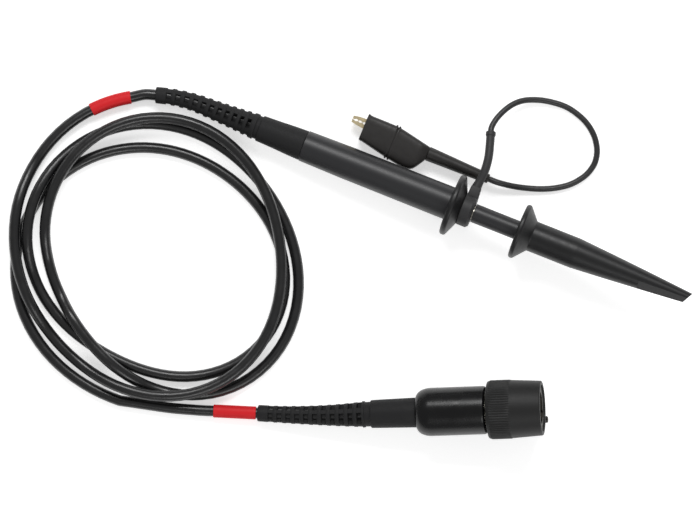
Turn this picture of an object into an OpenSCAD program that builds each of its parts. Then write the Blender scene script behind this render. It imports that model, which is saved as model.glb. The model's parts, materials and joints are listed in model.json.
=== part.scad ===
// Oscilloscope probe with a retractable hook, a swivelling ground lead and a
// coaxial cable that ends in a bayonet plug with a sprung readout pin.
// Lengths are in millimetres and angles in degrees. The probe lies on z = 0
// on the rim of its finger guard and on the cable end of its strain relief.

/* [Probe barrel] */
// Length of the barrel shell between strain relief and finger guard
barrel_len = 49.2; // [40:0.2:60]
// Diameter of the barrel at the strain relief
barrel_rear_d = 9.9; // [9.6:0.1:10.4]
// Diameter of the barrel at the finger guard
barrel_front_d = 10.6; // [10:0.1:11.5]
// Wall of the barrel shell
barrel_wall = 1.3; // [1:0.1:1.6]
// Wall of the shield tube inside the barrel
shield_wall = 0.4; // [0.3:0.05:0.6]
// Outer diameter of the metal nose tube
nose_tube_d = 4.4; // [4.2:0.1:4.8]
// Bore of the metal nose tube
nose_bore_d = 3.2; // [3:0.1:3.4]
// Length of the nose tube ahead of the finger guard
nose_reach = 17; // [16:0.5:17.5]
// Diameter of the tip needle
needle_d = 0.9; // [0.7:0.05:1]

/* [Finger guard and ground ring] */
// Diameter of the finger guard
guard_d = 19.8; // [17:0.2:22]
// Thickness of the guard's rim
guard_rim = 2; // [1.6:0.1:2.4]
// Depth of the guard's cone in front of the rim
guard_cone = 1.8; // [1.2:0.1:2.4]
// Diameter of the guard's hub in front of the cone
guard_hub_d = 10.4; // [9.6:0.2:11]
// Width of the ground ring along the probe
ring_w = 3.7; // [3.2:0.1:4.2]
// Outer diameter of the ground ring
ring_d = 10.4; // [9.6:0.2:11]
// Reach of the ring's block from the probe's axis
ring_block_reach = 8; // [7:0.2:8.6]

/* [Hook tip] */
// Diameter of the neck that carries the hook sleeve
neck_d = 6; // [5.8:0.1:6.4]
// Bare length of the neck
neck_len = 14.7; // [13:0.1:17]
// Diameter of the hook sleeve's flange
flange_d = 17.6; // [15:0.2:20]
// Thickness of the flange's rim
flange_rim = 1.7; // [1.4:0.1:2]
// Depth of the flange's cone in front of the rim
flange_cone = 3.1; // [2.4:0.1:4]
// Diameter of the hook sleeve
sleeve_d = 9.7; // [9.4:0.1:10.4]
// Length of the straight part of the hook sleeve
sleeve_len = 14.4; // [12:0.2:18]
// Length of the sleeve's tapered nose
nose_len = 38.6; // [34:0.2:44]
// Diameter of the nose at its tip
nose_tip_d = 3.4; // [3:0.1:3.8]
// Length of the flat cut on the side of the nose
chisel_len = 17.2; // [12:0.2:20]
// Depth of the flat at the tip, measured from the nose's side
chisel_depth = 0.5; // [0.2:0.05:0.55]
// Depth of the step where the flat starts
chisel_step = 0.6; // [0.3:0.05:0.8]
// Lean of the nose's end face
tip_lean = 28; // [0:1:35]
// Travel of the hook sleeve when it is pulled back
hook_travel = 8; // [5:0.5:9]
// Wire diameter of the hook
hook_wire_d = 0.6; // [0.5:0.05:0.7]
// Wire diameter of the hook spring
hook_spring_wire = 0.6; // [0.4:0.05:0.7]
// Length of the hook spring
hook_spring_len = 24; // [20:0.5:26]
// Curls of the hook spring
hook_spring_turns = 10; // [8:1:12]

/* [Strain reliefs] */
// Windows along each strain relief
windows = 11; // [7:1:12]
// Share of the spacing that one window takes
window_share = 0.52; // [0.4:0.02:0.56]
// Half the angle that a window of the probe's strain relief spans
probe_window = 24; // [18:1:30]
// Half the angle that a window of the plug's strain relief spans
plug_window = 33; // [24:1:34]
// Length of the plain end at the cable
boot_end = 2.8; // [2:0.1:4]
// Diameter at the cable end
boot_tip_d = 5.2; // [4.8:0.1:5.6]
// Diameter at the collar end
boot_root_d = 8.1; // [7.6:0.1:8.3]
// Spacing of the windows next to the probe's collar
probe_pitch = 2.4; // [2.2:0.05:2.7]
// Growth of that spacing from one window to the next
probe_growth = 0.055; // [0:0.005:0.08]
// Spacing of the windows on the plug
plug_pitch = 2.82; // [2.4:0.05:3]
// Length of the smooth collar on the probe
probe_collar = 17.25; // [16:0.05:19]
// Length of the smooth collar on the plug
plug_collar = 16.4; // [14:0.1:18]
// Straight part of the probe's strain relief
probe_straight = 17; // [8:0.5:18]
// Sideways bend of the probe's strain relief
probe_bend = 18; // [4:1:20]
// Straight part of the plug's strain relief
plug_straight = 4; // [4:0.5:16]
// Sideways bend of the plug's strain relief
plug_bend = 6; // [2:1:8]

/* [Signal cable] */
// Diameter of the cable
cable_d = 3.45; // [3.3:0.05:3.6]
// Height of the upper strand above the lower one at a crossing
cable_layer = 4.06; // [3.98:0.02:4.2]
// Wall of the marker bands
band_wall = 0.32; // [0.25:0.01:0.4]

/* [Ground lead] */
// Diameter of the ground wire
wire_d = 1.9; // [1.6:0.1:2.2]
// Diameter of the moulded arm
arm_d = 2.7; // [2.5:0.1:3]
// Height of the clip's axis above the table
clip_z = 3.4; // [3.4:0.1:4]
// Thickness of the clip's boot
clip_thick = 6.6; // [6.4:0.1:6.8]
// Wall of the clip's boot
clip_wall = 0.8; // [0.6:0.1:1]
// Length of the boot from the sleeve joint to its mouth
clip_boot_len = 21.8; // [21:0.2:23]
// Length of the sleeve behind the boot
clip_sleeve_len = 18; // [16:0.2:18.6]
// Diameter of the sleeve where it meets the boot
clip_sleeve_d = 4.1; // [3.9:0.1:4.3]
// Reach of the jaws ahead of the sleeve joint
jaw_reach = 26; // [25:0.2:27]
// Width of the jaws
jaw_w = 3.6; // [3:0.1:3.8]
// Sheet thickness of the jaws
jaw_sheet = 0.5; // [0.4:0.05:0.6]
// Diameter of the jaw pin
jaw_pin_d = 1.2; // [1:0.1:1.4]

/* [Plug housing] */
// Diameter of the housing
housing_d = 15.1; // [14.8:0.1:15.8]
// Length of the housing
housing_len = 22; // [20:0.2:26]
// Wall of the housing
housing_wall = 1.3; // [1:0.1:1.5]
// Length of the housing's rounded shoulder
shoulder_len = 4.6; // [3.6:0.1:5.4]
// Radius of the round keel that holds the readout pin
keel_r = 1.8; // [1.7:0.05:2]
// Distance of the keel's centre from the plug's axis
keel_drop = 10.5; // [10.4:0.05:11]
// Length of the keel
keel_len = 12.4; // [11:0.2:14]
// Roll of the plug about its own axis
plug_roll = 22; // [10:1:30]
// Direction of the plug on the table
plug_yaw = 24; // [20:1:28]

/* [Plug connector] */
// Outer diameter of the split contact that enters the socket
contact_d = 8.12; // [8.1:0.01:8.14]
// Wall of the split contact
contact_wall = 0.5; // [0.4:0.05:0.6]
// Slots in the split contact
contact_slots = 4; // [2:1:6]
// Diameter of the centre pin
pin_d = 1.34; // [1.3:0.01:1.38]
// Bore of the bayonet nut
nut_bore = 9.9; // [9.8:0.05:10]
// Outer diameter of the bayonet nut
nut_d = 14.5; // [14:0.1:15]
// Diameter of the grip ring over its ribs
grip_d = 18.4; // [17.6:0.1:19]
// Diameter of the grip ring at its front rim
grip_front_d = 17.1; // [16.4:0.1:17.4]
// Length of the grip ring
grip_len = 17; // [16:0.2:17.4]
// Length of the ribbed part of the grip ring
rib_len = 6.6; // [4:0.2:9]
// Ribs round the grip ring
ribs = 72; // [48:4:96]
// Height of the ribs
rib_h = 0.18; // [0.1:0.02:0.3]
// Diameter of the readout pin's head
readout_d = 2.2; // [2:0.1:2.4]
// Travel of the readout pin
readout_travel = 1.5; // [1:0.1:1.8]

/* [Hidden] */
$fn = 48;
snug = 0.05;          // radial gap of parts that are pushed together or run on each other
face_gap = 0.1;       // end gap of parts that turn or slide against each other
seam = 0.3;           // overlap that joins the pieces of one moulding
cable_r = cable_d / 2;
wire_r = wire_d / 2;

// ---- Curves and sweeps ---------------------------------------------------------
// Points of a circular arc, centre (cx, cy), from angle a to angle b.
function arc(cx, cy, r, a, b, steps = 6) =
    [for (i = [0:steps]) [cx + r * cos(a + (b - a) * i / steps), cy + r * sin(a + (b - a) * i / steps)]];
function unit(v) = v / norm(v);
function smooth(u) = (1 - cos(180 * min(1, max(0, u)))) / 2;
// Tangent of a route at point i.
function heading(p, i) = unit(p[min(i + 1, len(p) - 1)] - p[max(i - 1, 0)]);
// Ring of points round point i, at right angles to the route.
function ring(p, i, r, sides) =
    let (t = heading(p, i), side = unit(cross([0, 0, 1], t)), up = cross(t, side))
    [for (k = [0:sides - 1]) p[i] + r * (cos(360 * (k + 0.5) / sides) * side
                                         + sin(360 * (k + 0.5) / sides) * up)];
// Solid tube along a route.
module tube(p, r, sides) {
    n = len(p);
    pts = [for (i = [0:n - 1]) each ring(p, i, r, sides)];
    walls = [for (i = [0:n - 2], k = [0:sides - 1]) let (j = (k + 1) % sides)
        each [[i * sides + k, i * sides + j, (i + 1) * sides + j],
              [i * sides + k, (i + 1) * sides + j, (i + 1) * sides + k]]];
    caps = [[for (k = [sides - 1:-1:0]) k], [for (k = [0:sides - 1]) (n - 1) * sides + k]];
    polyhedron(points = pts, faces = concat(walls, caps));
}
// Catmull-Rom curve through a list of points, each span cut into a number of steps.
function spline(p, steps) = [
    for (i = [0:len(p) - 2], k = [0:steps - 1])
        let (a = p[max(i - 1, 0)], b = p[i], c = p[i + 1], d = p[min(i + 2, len(p) - 1)], u = k / steps)
        0.5 * ((2 * b) + (c - a) * u + (2 * a - 5 * b + 4 * c - d) * u * u
               + (3 * b - a - 3 * c + d) * u * u * u),
    p[len(p) - 1]];
// Solid turned about the x axis from an outline of [x, radius] points.
module turned(outline) {
    rotate([0, 90, 0]) rotate([0, 0, 180])
        rotate_extrude() polygon([for (q = outline) [q[1], q[0]]]);
}
// Round rod and hollow tube along x.
module rod(x0, x1, r) { translate([x0, 0, 0]) rotate([0, 90, 0]) cylinder(h = x1 - x0, r = r); }
module pipe(x0, x1, r, bore) {
    difference() {
        rod(x0, x1, r);
        rod(x0 - 1, x1 + 1, bore);
    }
}
// Helical spring along x.
function helix(x0, x1, r, turns, per_turn = 8) =
    [for (i = [0:turns * per_turn]) let (a = 360 * i / per_turn)
        [x0 + (x1 - x0) * i / (turns * per_turn), r * cos(a), r * sin(a)]];

// ---- Strain relief -------------------------------------------------------------
boot_tip_r = boot_tip_d / 2;
boot_root_r = boot_root_d / 2;
boot_notch = 0.12;    // height of the faint rings between the windows
ring_inset = 0.1;     // how far a ring stays behind its windows' edges
boot_taper = 1.7;
window_columns = 4;
window_floor = 1;
// A relief is [window spacing, its growth, straight length, bend, half the angle of a window].
probe_relief = [probe_pitch, probe_growth, probe_straight, probe_bend, probe_window];
plug_relief = [plug_pitch, 0, plug_straight, plug_bend, plug_window];
// Distance of ring i behind the collar.
function ring_at(i, relief) = relief[0] * i + relief[1] * i * (i - 1) / 2;
function ring_step(i, relief) = ring_at(i + 1, relief) - ring_at(i, relief);
function boot_len(relief) = boot_end + ring_at(windows, relief);
function bend_r(relief) = (boot_len(relief) - relief[2]) * 180 / (relief[3] * PI);
// Radius of the strain relief at distance d behind its collar.
function boot_r(d, relief) =
    boot_tip_r + (boot_root_r - boot_tip_r) * pow(max(0, 1 - d / boot_len(relief)), boot_taper);
// Places its children at distance d behind the collar, along the bend.
module along_boot(d, relief) {
    br = bend_r(relief);
    straight = relief[2];
    turn = max(0, d - straight) / br * 180 / PI;
    translate([-min(d, straight), -br, 0]) rotate([0, 0, turn]) translate([0, br, 0]) children();
}
// Cable end of the strain relief in its own frame.
function boot_tip(relief) = let (br = bend_r(relief), bend = relief[3])
    [-relief[2] - br * sin(bend), -br * (1 - cos(bend)), 0];
// Window with radial sides, centred on the top of the relief.
module window(open, half) {
    reach = boot_root_d;
    translate([-open / 2, 0, 0]) rotate([90, 0, 90]) linear_extrude(height = open)
        polygon([for (q = [[-1, window_floor], [-1, reach], [1, reach], [1, window_floor]])
            [q[0] * q[1] * sin(half), q[1] * cos(half)]]);
}
module strain_relief(relief, roll) {
    last = windows - 1;
    difference() {
        union() {
            for (i = [0:last]) {
                step = ring_step(i, relief);
                mid = ring_at(i, relief) + step / 2;
                half_ring = (1 - window_share) * step / 2 - ring_inset;
                along_boot(mid, relief) rod(-step / 2 - seam, step / 2 + seam, boot_r(mid, relief) - boot_notch);
                along_boot(ring_at(i, relief), relief)
                    rod(-half_ring, half_ring, boot_r(ring_at(i, relief), relief));
            }
            along_boot(boot_len(relief), relief)
                rod(0, boot_end + (1 - window_share) * ring_step(last, relief) / 2,
                    boot_r(ring_at(windows, relief), relief));
        }
        for (i = [0:last], k = [0:window_columns - 1])
            along_boot(ring_at(i, relief) + ring_step(i, relief) / 2, relief)
                rotate([roll + k * 360 / window_columns, 0, 0])
                    window(window_share * ring_step(i, relief), relief[4]);
        cable_in_boot(relief, 1, snug, 2);
    }
}
// Cable inside a strain relief, from its cable end to distance x past the collar's start.
module cable_in_boot(relief, x, gap = 0, past = 0) {
    br = bend_r(relief);
    rod(-relief[2], x, cable_r + gap);
    translate([-relief[2], -br, 0]) rotate([0, 0, 90])
        rotate_extrude(angle = relief[3] + past) translate([br, 0]) circle(r = cable_r + gap);
}

// ---- Probe: stations along its axis, from the start of the collar ---------------
barrel_x = probe_collar;
guard_x = barrel_x + barrel_len;
hub_x = guard_x + guard_rim + guard_cone;
ring_x = hub_x + face_gap;
neck_x = ring_x + ring_w + face_gap + 0.2;
flange_x = neck_x + neck_len;
sleeve_x = flange_x + flange_rim + flange_cone;
nose_x = sleeve_x + sleeve_len;
tip_x = nose_x + nose_len;
nose_end = guard_x + guard_rim + guard_cone + nose_reach;
nose_tube_r = nose_tube_d / 2;
nose_bore_r = nose_bore_d / 2;
needle_r = needle_d / 2;
guard_r = guard_d / 2;
neck_r = neck_d / 2;
// Tilt of the probe, which rests on the guard's rim and on the strain relief's cable end.
rest_x = guard_x + guard_rim / 2;
head_tip = boot_tip(probe_relief);
tilt = atan((guard_r - boot_tip_r) / (rest_x - head_tip[0]));
head_back = head_tip[0] * cos(tilt) - boot_tip_r * sin(probe_bend) * cos(tilt);
head_front = tip_x * cos(tilt);
probe_x = -(head_back + head_front) / 2;
probe_z = boot_tip_r * cos(tilt) - head_tip[0] * sin(tilt);
function head_point(p) =
    [probe_x + p[0] * cos(tilt) - p[2] * sin(tilt), p[1], probe_z + p[0] * sin(tilt) + p[2] * cos(tilt)];
module in_probe() { translate([probe_x, 0, probe_z]) rotate([0, -tilt, 0]) children(); }

ferrule_x = 4.5;
ferrule_len = 6.5;
ferrule_r = cable_r + 0.9;
dielectric_r = 1;
conductor_r = 0.25;
spigot_x = ferrule_x + ferrule_len + 0.5;
spigot_r = barrel_rear_d / 2 - 1.2;
spigot_bore = 2.4;
barrel_bore = barrel_rear_d / 2 - barrel_wall + 0.3;
shield_r = barrel_bore - snug;
shield_x = barrel_x + 2;
shield_end = guard_x - 1.3;
tube_flange_x = shield_end - 7;

module probe_boot() {
    groove = 1.1;
    color("#2b2b2c") in_probe() {
        strain_relief(probe_relief, 0);
        difference() {
            turned([[0, 0], [0, boot_root_r + 0.05], [groove, boot_root_r + 0.1],
                    [groove, boot_root_r - 0.35], [2 * groove, boot_root_r - 0.35],
                    [2 * groove + 0.2, boot_root_r + 0.1], [probe_collar / 2, barrel_rear_d / 2 - 0.55],
                    [probe_collar, barrel_rear_d / 2 - 0.15], [probe_collar, 0]]);
            rod(-1, ferrule_x, cable_r + snug);
            rod(ferrule_x - 0.01, spigot_x, ferrule_r + snug);
            rod(spigot_x - 0.01, probe_collar + 1, spigot_r + snug);
        }
    }
}
module head_ferrule() {
    color("#b9a46a") in_probe() pipe(ferrule_x, ferrule_x + ferrule_len, ferrule_r, cable_r + snug);
}
module cable_head_end() {
    jacket_end = ferrule_x + ferrule_len;
    dielectric_end = barrel_x + 4;
    color("#1c1c1d") in_probe() {
        cable_in_boot(probe_relief, jacket_end);
        rod(jacket_end - 0.5, dielectric_end, dielectric_r);
        rod(dielectric_end - 0.5, resistor_x - lead_len, conductor_r);
    }
}
module barrel_shell() {
    mid = barrel_x + barrel_len * 0.28;
    color("#262629") in_probe() difference() {
        turned([[spigot_x, 0], [spigot_x, spigot_r], [barrel_x, spigot_r], [barrel_x, barrel_rear_d / 2],
                [mid, (barrel_rear_d + 2 * barrel_front_d) / 6], [guard_x, barrel_front_d / 2],
                [guard_x, 0]]);
        rod(spigot_x - 1, shield_x + 1, spigot_bore);
        rod(shield_x - 0.5, guard_x + 1, barrel_bore);
    }
}
module shield_tube() {
    color("#c2a55a") in_probe() pipe(shield_x, shield_end, shield_r, shield_r - shield_wall);
}
// Turned rim of a finger flange: flat rear face at x, rounded edge, cone down to a hub.
function flange_outline(x, r, rim, cone, hub_r) = let (round = rim * 0.45)
    concat([[x, 0]],
           arc(x + round, r - round, round, 180, 90),
           arc(x + rim - round, r - round, round, 90, 25),
           [[x + rim + cone, hub_r], [x + rim + cone, 0]]);
module finger_guard() {
    plug_r = barrel_bore - snug;
    color("#232325") in_probe() difference() {
        union() {
            turned(flange_outline(guard_x, guard_r, guard_rim, guard_cone, guard_hub_d / 2));
            rod(shield_end + face_gap, guard_x + seam, plug_r);
        }
        rod(shield_end - 1, hub_x + 1, nose_tube_r + snug);
    }
}

// ---- Nose of the probe ----------------------------------------------------------
lead_len = 3.5;
resistor_len = 10;
resistor_x = guard_x - 1;
insulator_grip = 4;
insulator_nose = 3.6;
needle_reach = 5;
needle_x = nose_end - 6;
needle_end = nose_end + insulator_nose + needle_reach;
module nose_tube() {
    flange_r = shield_r - shield_wall - snug;
    color("#c9c6be") in_probe() difference() {
        union() {
            rod(tube_flange_x, shield_end, flange_r);
            rod(shield_end - seam, nose_end, nose_tube_r);
        }
        rod(tube_flange_x - 1, nose_end + 1, nose_bore_r);
    }
}
module tip_insulator() {
    color("#e6e2d6") in_probe() difference() {
        turned([[nose_end - insulator_grip, 0], [nose_end - insulator_grip, nose_bore_r - snug],
                [nose_end, nose_bore_r - snug], [nose_end, nose_tube_r - 0.25],
                [nose_end + insulator_nose, needle_r + 0.35], [nose_end + insulator_nose, 0]]);
        rod(nose_end - insulator_grip - 1, nose_end + insulator_nose + 1, needle_r + snug);
    }
}
module tip_needle() {
    point = 1.4;
    color("#d8d6cf") in_probe()
        turned([[needle_x, 0], [needle_x, needle_r], [needle_end - point, needle_r], [needle_end, 0]]);
}
module input_resistor() {
    body_r = 1.05;
    lead_r = 0.25;
    color("#d7c7a0") in_probe() {
        rod(resistor_x - lead_len, resistor_x + 0.5, lead_r);
        rod(resistor_x, resistor_x + resistor_len, body_r);
        rod(resistor_x + resistor_len - 0.5, needle_x, lead_r);
    }
}
module input_capacitor() {
    color("#b7773a") in_probe()
        pipe(resistor_x + 2, resistor_x + resistor_len - 2, nose_bore_r - snug, 1.05 + snug);
}

// ---- Ground ring and its lead ----------------------------------------------------
collar_wall = 0.8;
collar_r = nose_tube_r + snug + collar_wall;
module ring_collar() {
    color("#c9c6be") in_probe() pipe(ring_x, ring_x + ring_w, collar_r, nose_tube_r + snug);
}
module ring_shell() {
    bevel = 0.7;
    r = ring_d / 2;
    block_z = arm_d + 1.4;
    color("#2f2f30") in_probe() difference() {
        union() {
            turned([[ring_x, 0], [ring_x, r], [ring_x + ring_w - bevel, r],
                    [ring_x + ring_w, r - bevel], [ring_x + ring_w, 0]]);
            translate([ring_x, collar_r + 1, -block_z / 2])
                cube([ring_w + 0.1, ring_block_reach - collar_r - 1, block_z]);
        }
        rod(ring_x - 1, ring_x + ring_w + 1, collar_r + snug);
    }
}

// ---- Ground clip -----------------------------------------------------------------
clip_at = [-2.8, 12.1];
clip_turn = 179;
module in_clip() { translate([clip_at[0], clip_at[1], clip_z]) rotate([0, 0, clip_turn]) children(); }
function clip_point(x, y) = [clip_at[0] + x * cos(clip_turn) - y * sin(clip_turn),
                             clip_at[1] + x * sin(clip_turn) + y * cos(clip_turn), clip_z];
bead_len = 2.6;
band_x = 11.6;
jaw_pin_x = 10.6;
jaw_pin_y = 0.6;
grip_y = -1;          // line on which the jaws close
boot_mid_y = 1;
// The arm leaves the block's outer face; it rises over the clip's sleeve and comes down to the wire.
arm_start = head_point([ring_x + ring_w / 2, ring_block_reach, 0]);
arm_points = [arm_start, arm_start + [0.3, 2.7, 0], [15.6, 13.9, 10.4], [15.1, 18, 9.8], [14, 22, 8.8],
              [12.9, 25.6, 7.7]];
wire_points = [[12.9, 25.6, 7.7], [12.6, 27.2, 7.2], [13.1, 30.2, 6.2], [14.6, 33.8, 4.9],
               [16.7, 36.8, 3.7],
               [19.5, 39, 2.6], [23.3, 40.6, 1.7], [27.3, 41.5, 1.2], [31.9, 41.8, 1], [36.1, 41, 1],
               [40, 39.4, 1], [43.3, 36.9, 1], [45.6, 33.8, 1], [46.7, 30.8, 1], [46.8, 27.6, 1],
               [45.5, 23.8, 1], [42.5, 19.9, 1], [38.5, 17, 1], [34.1, 14.9, 1.1], [29.5, 13.4, 1.6],
               [25.3, 12.4, 2.5], [21.1, 11.8, 3.4], clip_point(-clip_sleeve_len - bead_len, 0)];
module ground_arm() { color("#343435") tube(spline(arm_points, 2), arm_d / 2, 12); }
module ground_wire() { color("#202021") tube(wire_points, wire_r, 8); }
// Outline of the boot seen from above, drawn in by a wall thickness.
function boot_outline(inset) = let (front = clip_boot_len + (inset > 0 ? 1 : 0)) [
    [front, -4.1 + inset], [band_x, -4.2 + inset], [inset, -2.1 + inset / 2], [inset, 2.1 - inset / 2],
    [2.4 + inset, 6.4 - inset], [4.3 + inset, 7 - inset], [7, 7 - inset], [band_x, 6.3 - inset],
    [front, 4.2 - inset]];
module clip_solid(inset) {
    intersection() {
        translate([0, 0, -clip_thick / 2 + inset]) linear_extrude(clip_thick - 2 * inset)
            polygon(boot_outline(inset));
        translate([0, boot_mid_y, 0]) rod(-1, clip_boot_len + (inset > 0 ? 2 : 0), 6.1 - inset);
    }
}
module clip_boot() {
    color("#303031") in_clip() {
        difference() {
            union() {
                clip_solid(0);
                intersection() {
                    translate([0, boot_mid_y, 0]) rod(band_x - 0.7, band_x + 0.7, 6.3);
                    translate([band_x - 0.7, -4.5, -clip_thick / 2]) cube([1.4, 11.1, clip_thick]);
                }
            }
            clip_solid(clip_wall);
            rod(-2, 3, wire_r + 0.4);
        }
    }
}
module clip_sleeve() {
    end_r = clip_sleeve_d / 2 - 0.35;
    bead_r = end_r - 0.25;
    color("#303031") in_clip() difference() {
        union() {
            turned([[-clip_sleeve_len, 0], [-clip_sleeve_len, end_r], [0, clip_sleeve_d / 2], [0, 0]]);
            rod(-clip_sleeve_len - bead_len, -clip_sleeve_len + seam, bead_r);
        }
        rod(-clip_sleeve_len + 2, 1, wire_r + 0.1);
    }
}
// Jaw teeth: a row of points along the closing line.
function teeth(x0, x1, count, y, depth) = let (step = (x1 - x0) / count)
    [for (i = [0:count - 1]) each [[x0 + step * i, y], [x0 + step * (i + 0.5), y + depth]]];
tooth = 0.35;
jaw_grip = 12;
module jaw_cheeks(outline) {
    for (s = [-1, 1]) translate([0, 0, s * (jaw_w / 2 - jaw_sheet / 2) - jaw_sheet / 2])
        linear_extrude(jaw_sheet) polygon(outline);
}
module fixed_jaw() {
    color("#c8b68e") in_clip() difference() {
        union() {
            translate([0, 0, -jaw_w / 2]) linear_extrude(jaw_w) polygon(concat(
                [[1, -1.4], [3, -1.4], [jaw_pin_x - 2, -2.9], [jaw_grip, -3], [jaw_reach - 2, grip_y - 1.4],
                 [jaw_reach, grip_y - 1], [jaw_reach, grip_y - 0.05]],
                teeth(jaw_reach - 0.6, jaw_grip + 4, 7, grip_y - 0.1, -tooth),
                [[jaw_grip + 3, grip_y - 0.9], [jaw_grip, -2.5], [jaw_pin_x - 2, -2.4],
                 [3, -0.9], [1, -0.9]]));
            jaw_cheeks([[jaw_pin_x - 2.2, -2.7], [jaw_pin_x + 2.2, -2.7],
                        [jaw_pin_x + 1.2, jaw_pin_y + 1.2], [jaw_pin_x - 1.2, jaw_pin_y + 1.2]]);
            rod(-2, 1.6, wire_r + 0.05);
        }
        translate([jaw_pin_x, jaw_pin_y, -jaw_w]) cylinder(h = 2 * jaw_w, d = jaw_pin_d + 2 * snug);
    }
}
module moving_jaw() {
    inner_w = jaw_w - 2 * jaw_sheet - 0.3;
    lever_y = 7 - clip_wall - 0.5;
    color("#c8b68e") in_clip() difference() {
        translate([0, 0, -inner_w / 2]) linear_extrude(inner_w) polygon(concat(
            [[4.2, lever_y], [4.2, lever_y - jaw_sheet], [jaw_pin_x - 1.6, jaw_pin_y + 0.4],
             [jaw_pin_x, jaw_pin_y - 1.1], [jaw_pin_x + 2, grip_y + 0.4]],
            teeth(jaw_grip + 4, jaw_reach - 0.6, 7, grip_y + 0.05, tooth),
            [[jaw_reach, grip_y + 0.05], [jaw_reach, grip_y + 1], [jaw_reach - 2, grip_y + 1.4],
             [jaw_grip + 2, jaw_pin_y + 0.8], [jaw_pin_x, jaw_pin_y + 1.2]]));
        translate([jaw_pin_x, jaw_pin_y, -jaw_w]) cylinder(h = 2 * jaw_w, d = jaw_pin_d + 2 * snug);
    }
}
module jaw_pin() {
    head = 0.35;
    color("#b9ad92") in_clip() translate([jaw_pin_x, jaw_pin_y, 0]) {
        translate([0, 0, -jaw_w / 2 - head]) cylinder(h = jaw_w + 2 * head, d = jaw_pin_d);
        for (s = [0, 1]) mirror([0, 0, s]) translate([0, 0, jaw_w / 2 + 0.02])
            cylinder(h = head, d = jaw_pin_d + 0.8);
    }
}
module jaw_spring() {
    wire = 0.22;
    color("#8f8f8f") in_clip()
        tube([[5, 3.9, 0], [6.5, 2.4, 0], [7.2, 1.2, 0], [7, 0, 0], [6, -0.8, 0], [4.2, -0.85, 0]],
             wire, 6);
}

// ---- Hook tip ---------------------------------------------------------------------
shoulder_x = flange_x + 5.8;
collar_len = 1.5;
chamber_r = sleeve_d / 2 - 1.15;
spring_x = shoulder_x + face_gap + collar_len;
spring_end = spring_x + hook_spring_len;
socket_x = needle_end - 3.7;
socket_end = needle_end + 2;
socket_r = 1.2;
hook_bend = 0.45;
hook_wire_r = hook_wire_d / 2;
hook_end = tip_x - 3.2;
hook_bore = hook_bend + hook_wire_r + 0.1;
module hook_core() {
    stem_r = 2;
    color("#2a2a2b") in_probe() difference() {
        union() {
            rod(neck_x, spring_x, neck_r);
            rod(shoulder_x + face_gap, spring_x, chamber_r - face_gap);
            rod(spring_x - seam, socket_end + 3, stem_r);
        }
        rod(neck_x - 1, socket_x - face_gap, nose_tube_r + snug);
        rod(socket_x - face_gap - 0.5, socket_end + 4, socket_r + snug);
    }
}
module tip_socket() {
    color("#c8a24a") in_probe() difference() {
        rod(socket_x, socket_end, socket_r);
        rod(socket_x - 1, needle_end + 0.5, needle_r + snug);
    }
}
module hook_wire() {
    color("#bdbab2") in_probe() {
        translate([0, -hook_bend, 0]) rod(socket_end, hook_end, hook_wire_r);
        translate([hook_end, 0, 0]) rotate([0, 0, -90]) rotate_extrude(angle = 180)
            translate([hook_bend, 0]) circle(r = hook_wire_r);
        translate([0, hook_bend, 0]) rod(hook_end - 1.5, hook_end, hook_wire_r);
    }
}
module hook_spring() {
    r = chamber_r - 0.25 - hook_spring_wire / 2;
    color("#9a9a98") in_probe()
        tube(helix(spring_x + hook_spring_wire / 2 + 0.1, spring_end - hook_spring_wire / 2 - 0.1, r,
                   hook_spring_turns), hook_spring_wire / 2, 6);
}
module hook_sleeve() {
    nose_turn = (sleeve_d - nose_tip_d) / 2;
    // Radius of the nose at a share u of its length: a short round shoulder, then a straight taper.
    function nose_r(u) = sleeve_d / 2 - nose_turn * (0.86 * u + 0.14 * u * u);
    chisel_turn = 50;
    chisel_r = nose_r(1 - chisel_len / nose_len) - chisel_step;
    chisel_slope = atan((chisel_r - nose_tip_d / 2 + chisel_depth) / chisel_len);
    color("#262629") in_probe() difference() {
        turned(concat(
            [for (q = flange_outline(flange_x, flange_d / 2, flange_rim, flange_cone, sleeve_d / 2))
                if (q[1] > 0 || q[0] == flange_x) q],
            [for (i = [0:8]) [nose_x + nose_len * i / 8, nose_r(i / 8)]], [[tip_x, 0]]));
        rod(flange_x - 1, shoulder_x + 0.5, neck_r + snug);
        rod(shoulder_x, spring_end, chamber_r);
        rod(spring_end - 0.5, tip_x + 1, hook_bore);
        // flat on the side of the nose, from a step that lies chisel_len behind the tip
        translate([tip_x - chisel_len, 0, 0]) rotate([chisel_turn, 0, 0]) rotate([0, chisel_slope, 0])
            translate([0, -6, chisel_r]) cube([chisel_len + 6, 12, 6]);
        // end face, longest on the side of the ground clip
        translate([tip_x, nose_tip_d / 2, 0]) rotate([0, 0, -tip_lean])
            translate([0, -8, -4]) cube([6, 12, 8]);
    }
}

// ---- Plug: stations along its axis, from the start of the collar --------------------
plug_at = [-22.2, -83.1];
housing_x = plug_collar;
housing_front = housing_x + housing_len;
keel_x = housing_front - keel_len;
grip_x = housing_front + 0.5;
grip_end = grip_x + grip_len;
hub_end = grip_x + 4.1;
housing_r = housing_d / 2;
contact_r = contact_d / 2;
nut_bore_r = nut_bore / 2;
nut_r = nut_d / 2;
grip_r = grip_d / 2;
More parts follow.
